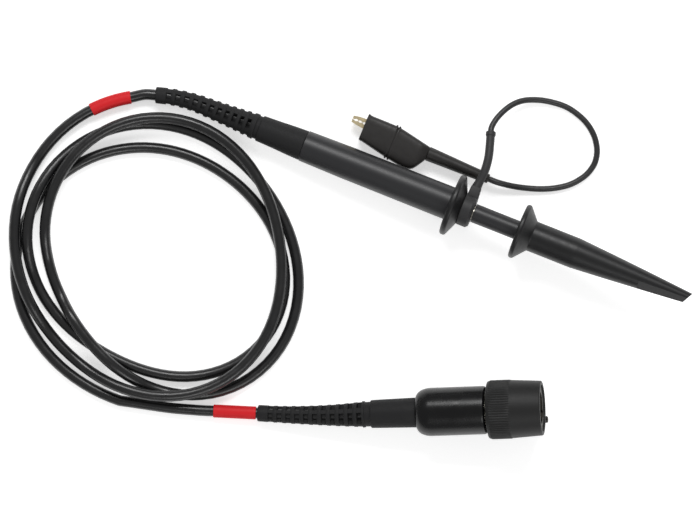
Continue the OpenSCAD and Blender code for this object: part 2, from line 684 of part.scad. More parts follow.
// Tilt of the plug, which rests on its keel and on the cable end of its strain relief.
plug_tip = boot_tip(plug_relief);
keel_depth = keel_drop * cos(plug_roll) + keel_r;
plug_tilt = atan((keel_depth - boot_tip_r) / (keel_x - plug_tip[0]));
function turned_point(p) = let (x = p[0] * cos(plug_tilt) - p[2] * sin(plug_tilt))
    [x * cos(plug_yaw) - p[1] * sin(plug_yaw), x * sin(plug_yaw) + p[1] * cos(plug_yaw),
     p[0] * sin(plug_tilt) + p[2] * cos(plug_tilt)];
plug_tip_at = turned_point([plug_tip[0], -plug_tip[1], 0]);
plug_origin = [plug_at[0] - plug_tip_at[0], plug_at[1] - plug_tip_at[1],
               boot_tip_r * cos(plug_tilt) - plug_tip_at[2]];
plug_end = plug_origin + plug_tip_at;
module in_plug() {
    translate(plug_origin) rotate([0, 0, plug_yaw]) rotate([0, -plug_tilt, 0]) children();
}
module in_rolled_plug() { in_plug() rotate([-plug_roll, 0, 0]) children(); }

// ---- Signal cable ------------------------------------------------------------------
// The coil lies in loose loops round its centre. Its radius sways slowly as it goes
// round, so that the loops cross; each wave is [size, waves per loop, lead angle].
coil_at = [-69.6, -49.6];
coil_turn = 21.7;
coil_from = 99;
coil_to = 1335;
coil_radius = 41.85;
coil_drift = -0.77;
coil_waves = [[3.62, 1.102, 76.5], [4.34, 0.644, 129], [1.19, 1.572, 314.8], [2.31, 0.879, 94],
              [3.48, 1.905, 192], [0.59, 2.942, 167.5], [0.98, 0.398, 132.8]];
// Stretches that ride over an earlier strand: climb starts, top, top ends, foot.
coil_rides = [[140, 162, 193, 217], [230, 257, 524, 545], [559, 579, 602, 633], [843, 876, 888, 911]];
rings_per_loop = 24;
band_lift = band_wall + 0.03;
band_clear = 134;
function coil_r(a) = coil_radius + coil_drift * (a - 90) / 360
    + [for (w = coil_waves) w[0] * cos(w[1] * a - w[2])] * [for (w = coil_waves) 1];
function coil_ride(a) =
    max([for (q = coil_rides) smooth(min((a - q[0]) / (q[1] - q[0]), (q[3] - a) / (q[3] - q[2])))]);
function coil_z(a) = cable_r + cable_layer * coil_ride(a) + band_lift * smooth((band_clear - a) / 14);
function coil_point(a) = [coil_at[0] + coil_r(a) * cos(a + coil_turn),
                          coil_at[1] + coil_r(a) * sin(a + coil_turn), coil_z(a)];
coil_steps = round(rings_per_loop * (coil_to - coil_from) / 360);
coil_start = head_point(head_tip);
coil_start_dir = unit(head_point(head_tip - [cos(probe_bend), sin(probe_bend), 0]) - coil_start);
coil_step = (coil_to - coil_from) / coil_steps;
coil_route = concat([coil_start, coil_start + cable_d * coil_start_dir],
                    [for (i = [0:coil_steps]) coil_point(coil_from + coil_step * i)]);
// Least gap of the coil to itself, on points four to a step along its tube.
coil_fine = [for (i = [0:len(coil_route) - 2], k = [0:3]) let (a = coil_route[i], b = coil_route[i + 1])
    a + (b - a) * k / 4];
coil_apart = 2 * rings_per_loop;
echo("least gap of the coil to itself", min([for (i = [0:len(coil_fine) - 1 - coil_apart])
    min([for (j = [i + coil_apart:len(coil_fine) - 1]) norm(coil_fine[i] - coil_fine[j])])]) - cable_d);
tail_points = [coil_point(coil_to), [-60.6, -94.7, 1.75], [-54.6, -93.3, 1.75], [-48.4, -91.8, 1.8],
               [-42.4, -90, 1.9], [-38, -88.6, 2], [-35.4, -87.65, 2.1], [-32.7, -86.72, 2.2],
               [-29.1, -85.48, 2.32], [-25.5, -84.23, 2.44], plug_end];
module cable_coil() { color("#1b1b1c") tube(coil_route, cable_r, 6); }
module cable_tail() { color("#1b1b1c") tube(tail_points, cable_r, 8); }
coil_band_len = 12.8;
tail_band_len = 13.3;
band_angle = 106.5;
band_bend = 46;
band_outer = cable_r + band_wall;
band_inner = cable_r - 0.15;
// Sleeve round the coil, bent as the cable is there.
module coil_band() {
    ahead = coil_point(band_angle + 2) - coil_point(band_angle - 2);
    half = coil_band_len / band_bend * 90 / PI;
    color("#d8262c") translate(coil_point(band_angle)) rotate([0, 0, atan2(ahead[1], ahead[0])])
        translate([0, band_bend, 0]) rotate([0, 0, -90 - half])
            rotate_extrude(angle = 2 * half) translate([band_bend, 0]) difference() {
                circle(r = band_outer);
                circle(r = band_inner);
            }
}
// Sleeve round the straight tail.
module tail_band() {
    from = tail_points[6];
    ahead = plug_end - from;
    color("#d8262c") translate(from) rotate([0, -asin(ahead[2] / norm(ahead)), atan2(ahead[1], ahead[0])])
        pipe(0, tail_band_len, band_outer, band_inner);
}

plug_ferrule_x = 7;
plug_ferrule_len = 7;
collar_spigot_r = 3.4;
rear_wall = 2;
window_roll = 45 - plug_roll;   // windows stand at 45 degrees to the split of the housing
module plug_boot() {
    groove = 1.9;
    color("#2b2b2c") in_plug() {
        mirror([0, 1, 0]) strain_relief(plug_relief, -window_roll);
        difference() {
            turned([[-0.7, 0], [-0.7, boot_root_r + 0.1], [0.2, boot_root_r + 0.1],
                    [0.2, boot_root_r - 0.2], [groove, boot_root_r - 0.2],
                    [groove + 0.2, boot_root_r + 0.35],
                    [plug_collar, boot_root_r + 0.65], [plug_collar, collar_spigot_r],
                    [plug_collar + rear_wall, collar_spigot_r], [plug_collar + rear_wall, 0]]);
            rod(-2, plug_ferrule_x, cable_r + snug);
            rod(plug_ferrule_x - 0.01, plug_collar + rear_wall + 1, ferrule_r + snug);
        }
    }
}
module cable_plug_end() {
    jacket_end = plug_ferrule_x + plug_ferrule_len;
    dielectric_end = housing_x + 5.5;
    color("#1c1c1d") in_plug() {
        mirror([0, 1, 0]) cable_in_boot(plug_relief, jacket_end);
        rod(jacket_end - 0.5, dielectric_end, dielectric_r);
        rod(dielectric_end - 0.5, centre_pin_x - 2, conductor_r);
    }
}
module plug_ferrule() {
    color("#b9a46a") in_plug()
        pipe(plug_ferrule_x, plug_ferrule_x + plug_ferrule_len, ferrule_r, cable_r + snug);
}

// ---- Plug housing -------------------------------------------------------------------
// Turned body: the shoulder swells from the collar to the full width, and the front edge is rounded.
module housing_body(inset) {
    front_edge = 1;
    r = housing_r - inset;
    r0 = boot_root_r + 0.75 - inset;
    x0 = housing_x + inset;
    x1 = housing_front - inset;
    turned(concat([[x0, 0]],
                  [for (i = [0:6]) [x0 + shoulder_len * (1 - cos(15 * i)), r0 + (r - r0) * sin(15 * i)]],
                  arc(x1 - front_edge, r - front_edge, front_edge, 90, 0), [[x1, 0]]));
}
screw_x = housing_x + 5;
screw_y = 3.5;
screw_r = 0.6;
screw_head_r = 1.15;
post_r = 1.6;
screw_low = housing_r - 1.65;   // depth of the screws' heads below the axis
beyond = 2 * (housing_front + grip_len);   // longer than the plug, for cuts
screw_head = 0.9;
trimmer_at = 12.6;
trimmer_x = housing_x + trimmer_at;
trimmer_y = 3;
trimmer_r = 1.2;
throat_r = 4;
readout_r = readout_d / 2;
shank_r = 0.6;
guide_r = 1.1;
guide_end = grip_end - 3.4;
coil_chamber_r = 1.1;
chamber_x = keel_x + 1.2;
chamber_end = keel_x + 7.1;
module screw_holes(r) {
    for (s = [-1, 1]) translate([screw_x, s * screw_y, -housing_r]) cylinder(h = housing_d, r = r);
}
module housing_top() {
    color("#1d1d1f") in_rolled_plug() difference() {
        union() {
            difference() {
                housing_body(0);
                housing_body(housing_wall);
            }
            for (s = [-1, 1]) translate([screw_x, s * screw_y, 0.5])
                cylinder(h = screw_low - 1.2, r = post_r);
        }
        translate([0, -housing_d, -housing_d]) cube([beyond, 2 * housing_d, housing_d]);
        rod(housing_x - 1, housing_x + rear_wall + 1, collar_spigot_r + snug);
        rod(housing_front - 3, housing_front + 1, throat_r + snug);
        for (s = [-1, 1]) translate([screw_x, s * screw_y, -1]) cylinder(h = 5, r = screw_r);
    }
}
module housing_bottom() {
    color("#1d1d1f") in_rolled_plug() difference() {
        union() {
            difference() {
                housing_body(0);
                housing_body(housing_wall);
            }
            for (s = [-1, 1]) translate([screw_x, s * screw_y, -screw_low + 0.5])
                cylinder(h = screw_low - 0.5, r = post_r);
            translate([keel_x, -keel_r, -keel_drop])
                cube([keel_len, 2 * keel_r, keel_drop - housing_r + housing_wall / 2]);
            translate([0, 0, -keel_drop]) rod(keel_x, housing_front, keel_r);
            translate([0, 0, -keel_drop]) rod(housing_front - 1, guide_end, guide_r);
        }
        translate([0, -housing_d, 0]) cube([beyond, 2 * housing_d, housing_d]);
        rod(housing_x - 1, housing_x + rear_wall + 1, collar_spigot_r + snug);
        rod(housing_front - 3, housing_front + 1, throat_r + snug);
        screw_holes(screw_r + snug);
        for (s = [-1, 1]) translate([screw_x, s * screw_y, -housing_r])
            cylinder(h = housing_r - screw_low + screw_head, r = screw_head_r + snug);
        translate([trimmer_x, trimmer_y, -housing_r]) cylinder(h = 3.2, r = trimmer_r + 0.1);
        translate([0, 0, -keel_drop]) {
            rod(chamber_x, chamber_end, coil_chamber_r);
            rod(chamber_end - 0.5, guide_end + 1, shank_r + snug);
        }
    }
}
module housing_screws() {
    slot = 0.3;
    thread = 3.8;
    color("#7d7d7c") in_rolled_plug()
        for (s = [-1, 1]) translate([screw_x, s * screw_y, -screw_low]) difference() {
            union() {
                cylinder(h = screw_head, r = screw_head_r);
                cylinder(h = screw_low + thread, r = screw_r - 0.01);
            }
            translate([-2, -slot / 2, -1]) cube([4, slot, 1 + slot]);
        }
}
board_x = housing_x + 7;
board_len = 10;
board_top = -1;
board_t = 0.9;
module match_board() {
    half = sqrt(pow(housing_r - housing_wall, 2) - pow(board_top - board_t, 2)) - 0.3;
    color("#2f6b3f") in_rolled_plug()
        translate([board_x, -half, board_top - board_t]) cube([board_len, 2 * half, board_t]);
}
module board_parts() {
    color("#3b3b3d") in_rolled_plug() for (i = [0:3])
        translate([board_x + 1.2 + 2.2 * i, -3.9, board_top]) cube([1.3, 2.1, 0.8]);
}
module trimmer_body() {
    size = 3.4;
    color("#d9d3c2") in_rolled_plug() difference() {
        translate([trimmer_x - size / 2, trimmer_y - size / 2 - 0.2, board_top - board_t - 2.2])
            cube([size, size, 2.2]);
        translate([trimmer_x, trimmer_y, board_top - board_t - 3]) cylinder(h = 1.9, r = trimmer_r + snug);
    }
}
module trimmer_screw() {
    slot = 0.4;
    low = board_top - board_t - 2.6;
    color("#c9a64c") in_rolled_plug() translate([trimmer_x, trimmer_y, low]) difference() {
        cylinder(h = 1.45, r = trimmer_r);
        translate([-2, -slot / 2, -1]) cube([4, slot, 1 + slot]);
    }
}
module readout_pin() {
    head = 2.4;
    head_x = guide_end + readout_travel;
    color("#2a2928") in_rolled_plug() translate([0, 0, -keel_drop])
        turned([[chamber_end - 1.1, 0], [chamber_end - 1.1, coil_chamber_r - snug],
                [chamber_end - 0.1, coil_chamber_r - snug], [chamber_end - 0.1, shank_r],
                [head_x + 0.1, shank_r], [head_x + 0.1, readout_r], [head_x + head - 0.3, readout_r],
                [head_x + head, readout_r - 0.4], [head_x + head, 0]]);
}
module readout_spring() {
    wire = 0.16;
    color("#9a9a98") in_rolled_plug() translate([0, 0, -keel_drop])
        tube(helix(chamber_x + wire + 0.05, chamber_end - 1.1 - wire - 0.05, 0.8, 5), wire, 5);
}

// ---- Connector ------------------------------------------------------------------------
hub_r = nut_bore_r - snug;
wall_in = housing_front - housing_wall;
insulator_r = contact_r - contact_wall - snug;
insulator_x = grip_x + 0.7;
insulator_end = insulator_x + 7.5;
pin_shank_r = pin_d / 2 - 0.25;
gasket_len = 1.1;
contact_x = hub_end + 0.4 + gasket_len;
centre_pin_x = housing_front - 6;
contact_end = grip_end - 1.6;
ring_groove = 0.8;
washer_groove_x = grip_x + 2;
washer_groove_end = hub_end - 0.1;
module connector_body() {
    flange = 4.4;
    color("#cfcabd") in_rolled_plug() difference() {
        turned([[wall_in - 3.6, 0], [wall_in - 3.6, 2.6], [wall_in - 2.4, 2.6], [wall_in - 2.4, flange],
                [wall_in - face_gap, flange], [wall_in - face_gap, throat_r],
                [housing_front + 0.1, throat_r], [housing_front + 0.1, hub_r],
                [hub_end - ring_groove - 0.1, hub_r], [hub_end - ring_groove - 0.1, hub_r - 0.5],
                [hub_end - 0.1, hub_r - 0.5], [hub_end - 0.1, hub_r], [hub_end + 0.4, hub_r],
                [hub_end + 0.4, contact_r + 0.25], [contact_x, contact_r + 0.25], [contact_x, 0]]);
        rod(insulator_x, contact_x + 1, insulator_r + snug);
        rod(wall_in - 5, hub_end, 1.2);
    }
}
module outer_contact() {
    slot = 0.5;
    slot_len = 0.45 * (contact_end - contact_x);
    color("#d6d2c6") in_rolled_plug() difference() {
        pipe(contact_x, contact_end, contact_r, contact_r - contact_wall);
        for (i = [0:contact_slots - 1]) rotate([360 * i / contact_slots, 0, 0])
            translate([contact_end - slot_len, -slot / 2, 1]) cube([slot_len + 1, slot, contact_r]);
    }
}
module contact_insulator() {
    color("#efece2") in_rolled_plug() pipe(insulator_x, insulator_end, insulator_r, pin_shank_r + snug);
}
module centre_pin() {
    color("#cda649") in_rolled_plug() turned([[centre_pin_x, 0], [centre_pin_x, pin_shank_r],
        [insulator_end + snug, pin_shank_r], [insulator_end + snug, pin_d / 2],
        [contact_end - 2, pin_d / 2], [contact_end - 1, pin_d / 4], [contact_end - 1, 0]]);
}
module contact_gasket() {
    color("#a8483a") in_rolled_plug() pipe(hub_end + 0.4, contact_x - 0.05, hub_r - 0.1, contact_r + 0.3);
}
module bayonet_nut() {
    lug_w = 2.3;
    lug_r = nut_bore_r + 1.1;
    lock_x = grip_end - 6.4;
    color("#c4c0b4") in_rolled_plug() difference() {
        pipe(grip_x + 0.3, grip_end - 0.6, nut_r, nut_bore_r);
        rod(washer_groove_x, washer_groove_end, nut_bore_r + 0.9);
        for (s = [0, 180]) rotate([s, 0, 0]) {
            translate([lock_x, -lug_w / 2, 0]) cube([10, lug_w, lug_r]);
            translate([lock_x, 0, 0]) rotate([0, 90, 0]) rotate_extrude(angle = 70)
                translate([nut_bore_r - 0.5, 0]) square([lug_r - nut_bore_r + 0.5, lug_w]);
        }
    }
}
// Ribbed section: a star outline with one crest and one valley per rib.
function rib_star(r) = [for (i = [0:ribs - 1], k = [0:3])
    let (a = 360 * (i + k / 4) / ribs, q = k < 2 ? r : r - rib_h) [q * cos(a), q * sin(a)]];
module grip_ring() {
    rear = 0.7;
    rib_x = grip_x + rear;
    bore = nut_r + snug;
    color("#262626") in_rolled_plug() difference() {
        union() {
            turned([[grip_x, 0], [grip_x, grip_r - 0.6], [grip_x + 0.35, grip_r - 0.25],
                    [rib_x + 0.1, grip_r - 0.25], [rib_x + 0.1, grip_r - 1],
                    [rib_x + rib_len - 0.1, grip_r - 1],
                    [rib_x + rib_len - 0.1, grip_r - rib_h / 2], [grip_end - 0.5, grip_front_d / 2],
                    [grip_end, grip_front_d / 2 - 0.4], [grip_end, 0]]);
            translate([rib_x, 0, 0]) rotate([0, 90, 0]) linear_extrude(rib_len) polygon(rib_star(grip_r));
        }
        rod(grip_x - 1, grip_end + 1, bore);
    }
}
module spring_washer() {
    sheet = 0.3;
    color("#b8b5ab") in_rolled_plug()
        pipe(washer_groove_x + 0.15, washer_groove_x + 0.15 + sheet, nut_bore_r + 0.8, hub_r + 0.1);
}
module retaining_ring() {
    split = 1.2;
    color("#8d8b85") in_rolled_plug() difference() {
        pipe(hub_end - ring_groove - 0.05, hub_end - 0.15, nut_bore_r + 0.75, hub_r - 0.45);
        translate([0, -split / 2, 0]) cube([beyond, split, nut_r]);
    }
}

probe_boot();
barrel_shell();
shield_tube();
cable_head_end();
head_ferrule();
finger_guard();
nose_tube();
tip_insulator();
tip_needle();
input_resistor();
input_capacitor();
ring_collar();
ring_shell();
ground_arm();
ground_wire();
clip_sleeve();
clip_boot();
fixed_jaw();
moving_jaw();
jaw_pin();
jaw_spring();
hook_core();
tip_socket();
hook_spring();
hook_wire();
hook_sleeve();
cable_coil();
cable_tail();
coil_band();
tail_band();
plug_boot();
cable_plug_end();
plug_ferrule();
housing_top();
housing_bottom();
housing_screws();
match_board();
board_parts();
trimmer_body();
trimmer_screw();
readout_pin();
readout_spring();
connector_body();
outer_contact();
contact_insulator();
centre_pin();
contact_gasket();
bayonet_nut();
grip_ring();
spring_washer();
retaining_ring();
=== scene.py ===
"""Looks for the oscilloscope probe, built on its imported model. Local sizes are in millimetres."""

import json
import math

import bmesh
import bpy
from mathutils import Matrix, Vector


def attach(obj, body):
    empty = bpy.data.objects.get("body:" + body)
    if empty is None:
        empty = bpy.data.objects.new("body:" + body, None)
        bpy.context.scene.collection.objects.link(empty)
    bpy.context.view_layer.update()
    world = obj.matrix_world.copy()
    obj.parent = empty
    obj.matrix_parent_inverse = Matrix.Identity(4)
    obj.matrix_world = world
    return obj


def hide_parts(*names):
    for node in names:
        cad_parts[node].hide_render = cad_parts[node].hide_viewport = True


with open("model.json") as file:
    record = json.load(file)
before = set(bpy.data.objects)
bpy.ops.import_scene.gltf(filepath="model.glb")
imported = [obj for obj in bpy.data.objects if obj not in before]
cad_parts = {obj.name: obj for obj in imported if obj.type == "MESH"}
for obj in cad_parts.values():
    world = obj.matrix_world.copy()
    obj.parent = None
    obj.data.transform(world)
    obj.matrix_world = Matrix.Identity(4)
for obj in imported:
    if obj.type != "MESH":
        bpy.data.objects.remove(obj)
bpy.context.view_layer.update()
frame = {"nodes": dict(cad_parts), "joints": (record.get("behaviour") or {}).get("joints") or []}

# ---- Signal cable -----------------------------------------------------------------------
# Coaxial cable, 3.45 mm thick, with an extruded jacket of glossy black PVC. It leaves the
# probe's strain relief, lies in three and a half loose loops and ends in the plug's ferrule.

MM = 0.001


def linear(hex_colour):
    """An sRGB hex value as the linear colour that a shader takes."""
    parts = [int(hex_colour[i:i + 2], 16) / 255 for i in (1, 3, 5)]
    return (*[p / 12.92 if p <= 0.04045 else ((p + 0.055) / 1.055) ** 2.4 for p in parts], 1)


def add(tree, kind, settings=(), links=()):
    """Adds a node to a tree. Settings are its own or its inputs' values; links are its inputs' sources."""
    new = tree.nodes.new(kind)
    for key, value in dict(settings).items():
        if hasattr(new, str(key)):
            setattr(new, key, value)
        else:
            new.inputs[key].default_value = value
    for key, source in dict(links).items():
        tree.links.new(source, new.inputs[key])
    return new


def surface(name, settings):
    """A new material with a principled shader: material, tree, shader and places on the object."""
    material = bpy.data.materials.new(name)
    material.use_nodes = True
    tree = material.node_tree
    shader = tree.nodes["Principled BSDF"]
    for key, value in settings.items():
        shader.inputs[key].default_value = value
    places = add(tree, "ShaderNodeTexCoord").outputs["Object"]
    return material, tree, shader, places


joints = {j["name"]: j for j in frame["joints"]}


def axes_at(origin, along, upward):
    """Frame with x along one direction and z near another. It takes millimetres to metres."""
    x = Vector(along).normalized()
    y = Vector(upward).cross(x).normalized()
    turn = Matrix((x, y, x.cross(y))).transposed().to_4x4()
    return Matrix.Translation(Vector(origin)) @ turn @ Matrix.Scale(MM, 4)


# The probe's own frame starts where the strain relief's collar starts, 70.35 mm behind the ground ring.
RING_X = 70.35
swivel = joints["ground_ring_swivel"]
probe = axes_at(Vector(swivel["pos_m"]) - RING_X * MM * Vector(swivel["axis"]), swivel["axis"], (0, 0, 1))
# The plug's frame starts where its collar starts, 38.9 mm behind the grip ring. The housing is
# rolled about the plug's axis, so it has a second frame, which the trimmer's axis gives.
GRIP_X = 38.9
coupling = joints["coupling_ring_turn"]
plug_start = Vector(coupling["pos_m"]) - GRIP_X * MM * Vector(coupling["axis"])
plug = axes_at(plug_start, coupling["axis"], (0, 0, 1))
plug_rolled = axes_at(plug_start, coupling["axis"], joints["trimmer_turn"]["axis"])

CABLE_R = 1.725
WINDOWS = 11
BOOT_END = 2.8


class Relief:
    """A strain relief's own frame: how its windows are spaced, and how its centre line bends."""

    def __init__(self, pitch, growth, straight, bend, side):
        self.pitch, self.growth, self.straight, self.side = pitch, growth, straight, side
        self.length = self.ring(WINDOWS) + BOOT_END
        self.radius = (self.length - straight) * 180 / (bend * math.pi)

    def ring(self, i):
        """Distance of ring i behind the collar."""
        return self.pitch * i + self.growth * i * (i - 1) / 2

    def at(self, d):
        """Centre and heading at distance d behind the collar: straight, then one gentle arc."""
        turn = max(0, d - self.straight) / self.radius
        x = -min(d, self.straight) - self.radius * math.sin(turn)
        y = self.side * self.radius * (1 - math.cos(turn))
        return Vector((x, y, 0)), Vector((-math.cos(turn), self.side * math.sin(turn), 0))


probe_relief = Relief(2.4, 0.055, 17, 18, -1)
plug_relief = Relief(2.82, 0, 4, 6, 1)

coil_at = Vector((-69.6, -49.6))
coil_turn, coil_from, coil_to = 21.7, 99, 1335
COIL_R, COIL_SHRINK = 41.85, 0.77     # mean radius, and how much it shrinks with each loop
RIDE_H = 4.06                     # climb over an earlier strand
START_LIFT, LIFT_END, LIFT_SPAN = 0.35, 134, 14     # lift beside the probe, and the degrees where it fades
# Each wave of the coil's radius is its size, its waves per loop and its lead angle.
coil_waves = [(3.62, 1.102, 76.5), (4.34, 0.644, 129), (1.19, 1.572, 314.8), (2.31, 0.879, 94),
              (3.48, 1.905, 192), (0.59, 2.942, 167.5), (0.98, 0.398, 132.8)]
# Stretches that ride over an earlier strand: climb starts, top, top ends, foot.
coil_rides = [(140, 162, 193, 217), (230, 257, 524, 545), (559, 579, 602, 633), (843, 876, 888, 911)]


def ease(u):
    """Soft step from 0 to 1."""
    return (1 - math.cos(math.pi * min(1, max(0, u)))) / 2


def coil_point(a):
    """Place of the cable at a degrees round the coil: its radius sways, and it climbs over strands."""
    radius = COIL_R - COIL_SHRINK * (a - 90) / 360
    radius += sum(size * math.cos(math.radians(rate * a - lead)) for size, rate, lead in coil_waves)
    ride = max(ease(min((a - q[0]) / (q[1] - q[0]), (q[3] - a) / (q[3] - q[2]))) for q in coil_rides)
    height = CABLE_R + RIDE_H * ride + START_LIFT * ease((LIFT_END - a) / LIFT_SPAN)
    turn = math.radians(a + coil_turn)
    return Vector((coil_at.x + radius * math.cos(turn), coil_at.y + radius * math.sin(turn), height))


def smooth_route(points, steps=8):
    """Catmull-Rom curve through points."""
    route = []
    for i in range(len(points) - 1):
        a, b, c, d = points[max(i - 1, 0)], points[i], points[i + 1], points[min(i + 2, len(points) - 1)]
        for k in range(steps):
            u = k / steps
            route.append(0.5 * (2 * b + (c - a) * u + (2 * a - 5 * b + 4 * c - d) * u * u
                                + (3 * b - a - 3 * c + d) * u ** 3))
    return route + [points[-1]]


relief_end, relief_way = probe_relief.at(probe_relief.length)
cable_start = probe @ relief_end / MM
start_way = (probe.to_3x3() @ relief_way).normalized()
# From the coil to the plug the cable runs nearly straight along the table.
cable_tail = [Vector(p) for p in (
    (-60.6, -94.7, 1.75), (-54.6, -93.3, 1.75), (-48.4, -91.8, 1.8), (-42.4, -90, 1.9), (-38, -88.6, 2),
    (-35.4, -87.65, 2.1), (-32.7, -86.72, 2.2), (-29.1, -85.48, 2.32), (-25.5, -84.23, 2.44))]
JACKET_END = 14
inside_plug = [plug @ plug_relief.at(plug_relief.length * (1 - i / 6))[0] / MM for i in range(7)]
inside_plug.append(plug @ Vector((JACKET_END, 0, 0)) / MM)
route = smooth_route([cable_start, cable_start + 2 * CABLE_R * start_way, coil_point(coil_from),
                      coil_point(coil_from + 5)])[:-1]
route += [coil_point(a) for a in range(coil_from + 5, coil_to, 4)]
route += smooth_route([coil_point(coil_to - 4), coil_point(coil_to)] + cable_tail + inside_plug, 4)[4:]


def cord_curve(name, points, radius, material):
    """A round cord along points in millimetres, as a curve whose own line is its centre line."""
    curve = bpy.data.curves.new(name, "CURVE")
    curve.dimensions = "3D"
    curve.bevel_depth = radius * MM
    curve.bevel_resolution = 6
    curve.use_fill_caps = True
    spline = curve.splines.new("POLY")
    spline.points.add(len(points) - 1)
    for place, p in zip(spline.points, points):
        place.co = (*(p * MM), 1)
    spline.use_smooth = True
    curve.materials.append(material)
    cord = bpy.data.objects.new(name, curve)
    bpy.context.scene.collection.objects.link(cord)
    return cord


def grain(tree, shader, places, size, depth, polish):
    """Fine relief: bumps so many millimetres across and deep, whose crests and hollows differ in gloss."""
    fine = add(tree, "ShaderNodeTexNoise", {"Scale": 1 / (size * MM), "Detail": 3}, {"Vector": places})
    relief = add(tree, "ShaderNodeBump", {"Strength": 1, "Distance": depth * MM},
                 {"Height": fine.outputs["Fac"]})
    tree.links.new(relief.outputs["Normal"], shader.inputs["Normal"])
    gloss = add(tree, "ShaderNodeMapRange", {"From Min": 0.3, "From Max": 0.7, "To Min": polish[0],
                                             "To Max": polish[1]}, {"Value": fine.outputs["Fac"]})
    tree.links.new(gloss.outputs["Result"], shader.inputs["Roughness"])
    return fine


def textured(name, colours, size, depth, polish, settings):
    """A material with fine relief. It has one colour, or two that follow the relief."""
    material, tree, shader, places = surface(name, settings)
    bumps = grain(tree, shader, places, size, depth, polish)
    if len(colours) == 1:
        shader.inputs["Base Color"].default_value = linear(colours[0])
    else:
        tone = add(tree, "ShaderNodeMix", {"data_type": "RGBA", 6: linear(colours[0]), 7: linear(colours[1])},
                   {0: bumps.outputs["Fac"]})
        tree.links.new(tone.outputs[2], shader.inputs["Base Color"])
    return material


# Extruded PVC: a smooth skin with a soft gloss; the wall swells and sinks a little over a centimetre.
jacket = textured("Glossy black PVC jacket, extruded", ["#161617"], 4, 0.05, (0.24, 0.38), {"IOR": 1.52})

cable = cord_curve("signal_cable", route, CABLE_R, jacket)
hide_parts("cable_coil", "cable_tail", "cable_plug_end")
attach(cable, "probe")

# ---- Cable end inside the probe ---------------------------------------------------------
# The cable runs on through the strain relief's bore. The jacket stops in the crimped brass
# ferrule, and the stripped core, white polyethylene on a copper wire, goes on to the resistor.

FERRULE_X, FERRULE_LEN, FERRULE_R = 4.5, 6.5, 2.625
head_stations = [probe_relief.at(probe_relief.length * (1 - i / 16))[0] for i in range(17)]
head_stations.append(Vector((FERRULE_X + FERRULE_LEN, 0, 0)))
cable_in_probe = cord_curve("cable_in_probe", [probe @ p / MM for p in head_stations], CABLE_R, jacket)
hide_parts("cable_head_end")
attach(cable_in_probe, "probe")


def lathe(outline, columns=96, first=0, last=360):
    """Points and faces of a solid turned about the x axis from a closed outline of (x, radius).

    A point on the axis is a pole. A part turn, from first to last in degrees, is closed at both ends."""
    whole = last - first >= 360
    count = columns if whole else columns + 1
    angles = [math.radians(first + (last - first) * k / columns) for k in range(count)]
    points, rows, faces = [], [], []
    for x, r in outline:
        row = []
        for a in angles[:1] if r < 1e-6 else angles:
            row.append(len(points))
            points.append(Vector((x, r * math.cos(a), r * math.sin(a))))
        rows.append(row * len(angles) if len(row) == 1 else row)
    for row, after in zip(rows, rows[1:] + rows[:1]):
        for k in range(len(angles) if whole else columns):
            j = (k + 1) % len(angles)
            face = list(dict.fromkeys((row[k], row[j], after[j], after[k])))
            if len(face) > 2:
                faces.append(face)
    if not whole:
        faces += [[row[0] for row in rows], [row[-1] for row in rows]]
    return points, faces


def solid(name, shape, place, material, body, stands_for=(), crease=40):
    """A piece from points, in millimetres in its own frame, and faces. It may stand for CAD solids."""
    points, faces = shape
    mesh = bpy.data.meshes.new(name)
    mesh.from_pydata([place @ Vector(p) for p in points], [], faces)
    work = bmesh.new()
    work.from_mesh(mesh)
    bmesh.ops.recalc_face_normals(work, faces=work.faces)
    work.to_mesh(mesh)
    work.free()
    mesh.shade_smooth()
    mesh.set_sharp_from_angle(angle=math.radians(crease))
    mesh.materials.append(material)
    piece = bpy.data.objects.new(name, mesh)
    bpy.context.scene.collection.objects.link(piece)
    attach(piece, body)
    if stands_for:
        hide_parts(*stands_for)
    return piece


# Extruded polyethylene: milky white and waxy, so light goes a little way in.
core_plastic = textured("White polyethylene dielectric, extruded", ["#e4e1d8"], 0.4, 0.01, (0.35, 0.5),
                        {"IOR": 1.51, "Subsurface Weight": 0.2, "Subsurface Scale": 1 * MM})
CORE_R, COPPER_R = 1, 0.25
RESISTOR_X, LEAD_LEN = 65.45, 3.5
CORE_X, STRIP_X = 10.5, 21.25
core_outline = [(CORE_X, 0), (CORE_X, CORE_R), (STRIP_X, CORE_R), (STRIP_X, COPPER_R),
                (RESISTOR_X - LEAD_LEN, COPPER_R), (RESISTOR_X - LEAD_LEN, 0)]
solid("probe_cable_core", lathe(core_outline, 32), probe, core_plastic, "probe")


def dress(material, *nodes):
    """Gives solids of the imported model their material."""
    for node in nodes:
        frame["nodes"][node].data.materials.clear()
        frame["nodes"][node].data.materials.append(material)


# Drawn and turned brass: warm yellow metal with fine lines left by the tool.
brass = textured("Brass, turned", ["#c9a75a"], 0.15, 0.006, (0.2, 0.36), {"Metallic": 1})
dress(brass, "head_ferrule", "shield_tube", "tip_socket")

# ---- Probe's strain relief --------------------------------------------------------------
# Moulded in matt thermoplastic rubber over the cable end. Four columns of eleven windows,
# between low rings, let it bend; its smooth collar is glued over the barrel's spigot.

NOTCH = 0.12                      # drop between the rings
WINDOW_SHARE = 0.52
PROBE_WINDOW, PLUG_WINDOW = 24, 33    # half the angle that a window spans
ROOT_R, TIP_R = 4.05, 2.6
RING_INSET, RING_EDGE = 0.1, 0.12     # distance from a window's edge to a ring, and the ring's edge radius
END_ROUND = 0.35                  # edge radius at the cable's end
SQUEEZED_R = CABLE_R - 0.15       # bore of a piece that grips the jacket
SNUG = 0.05                       # play between pieces that fit together


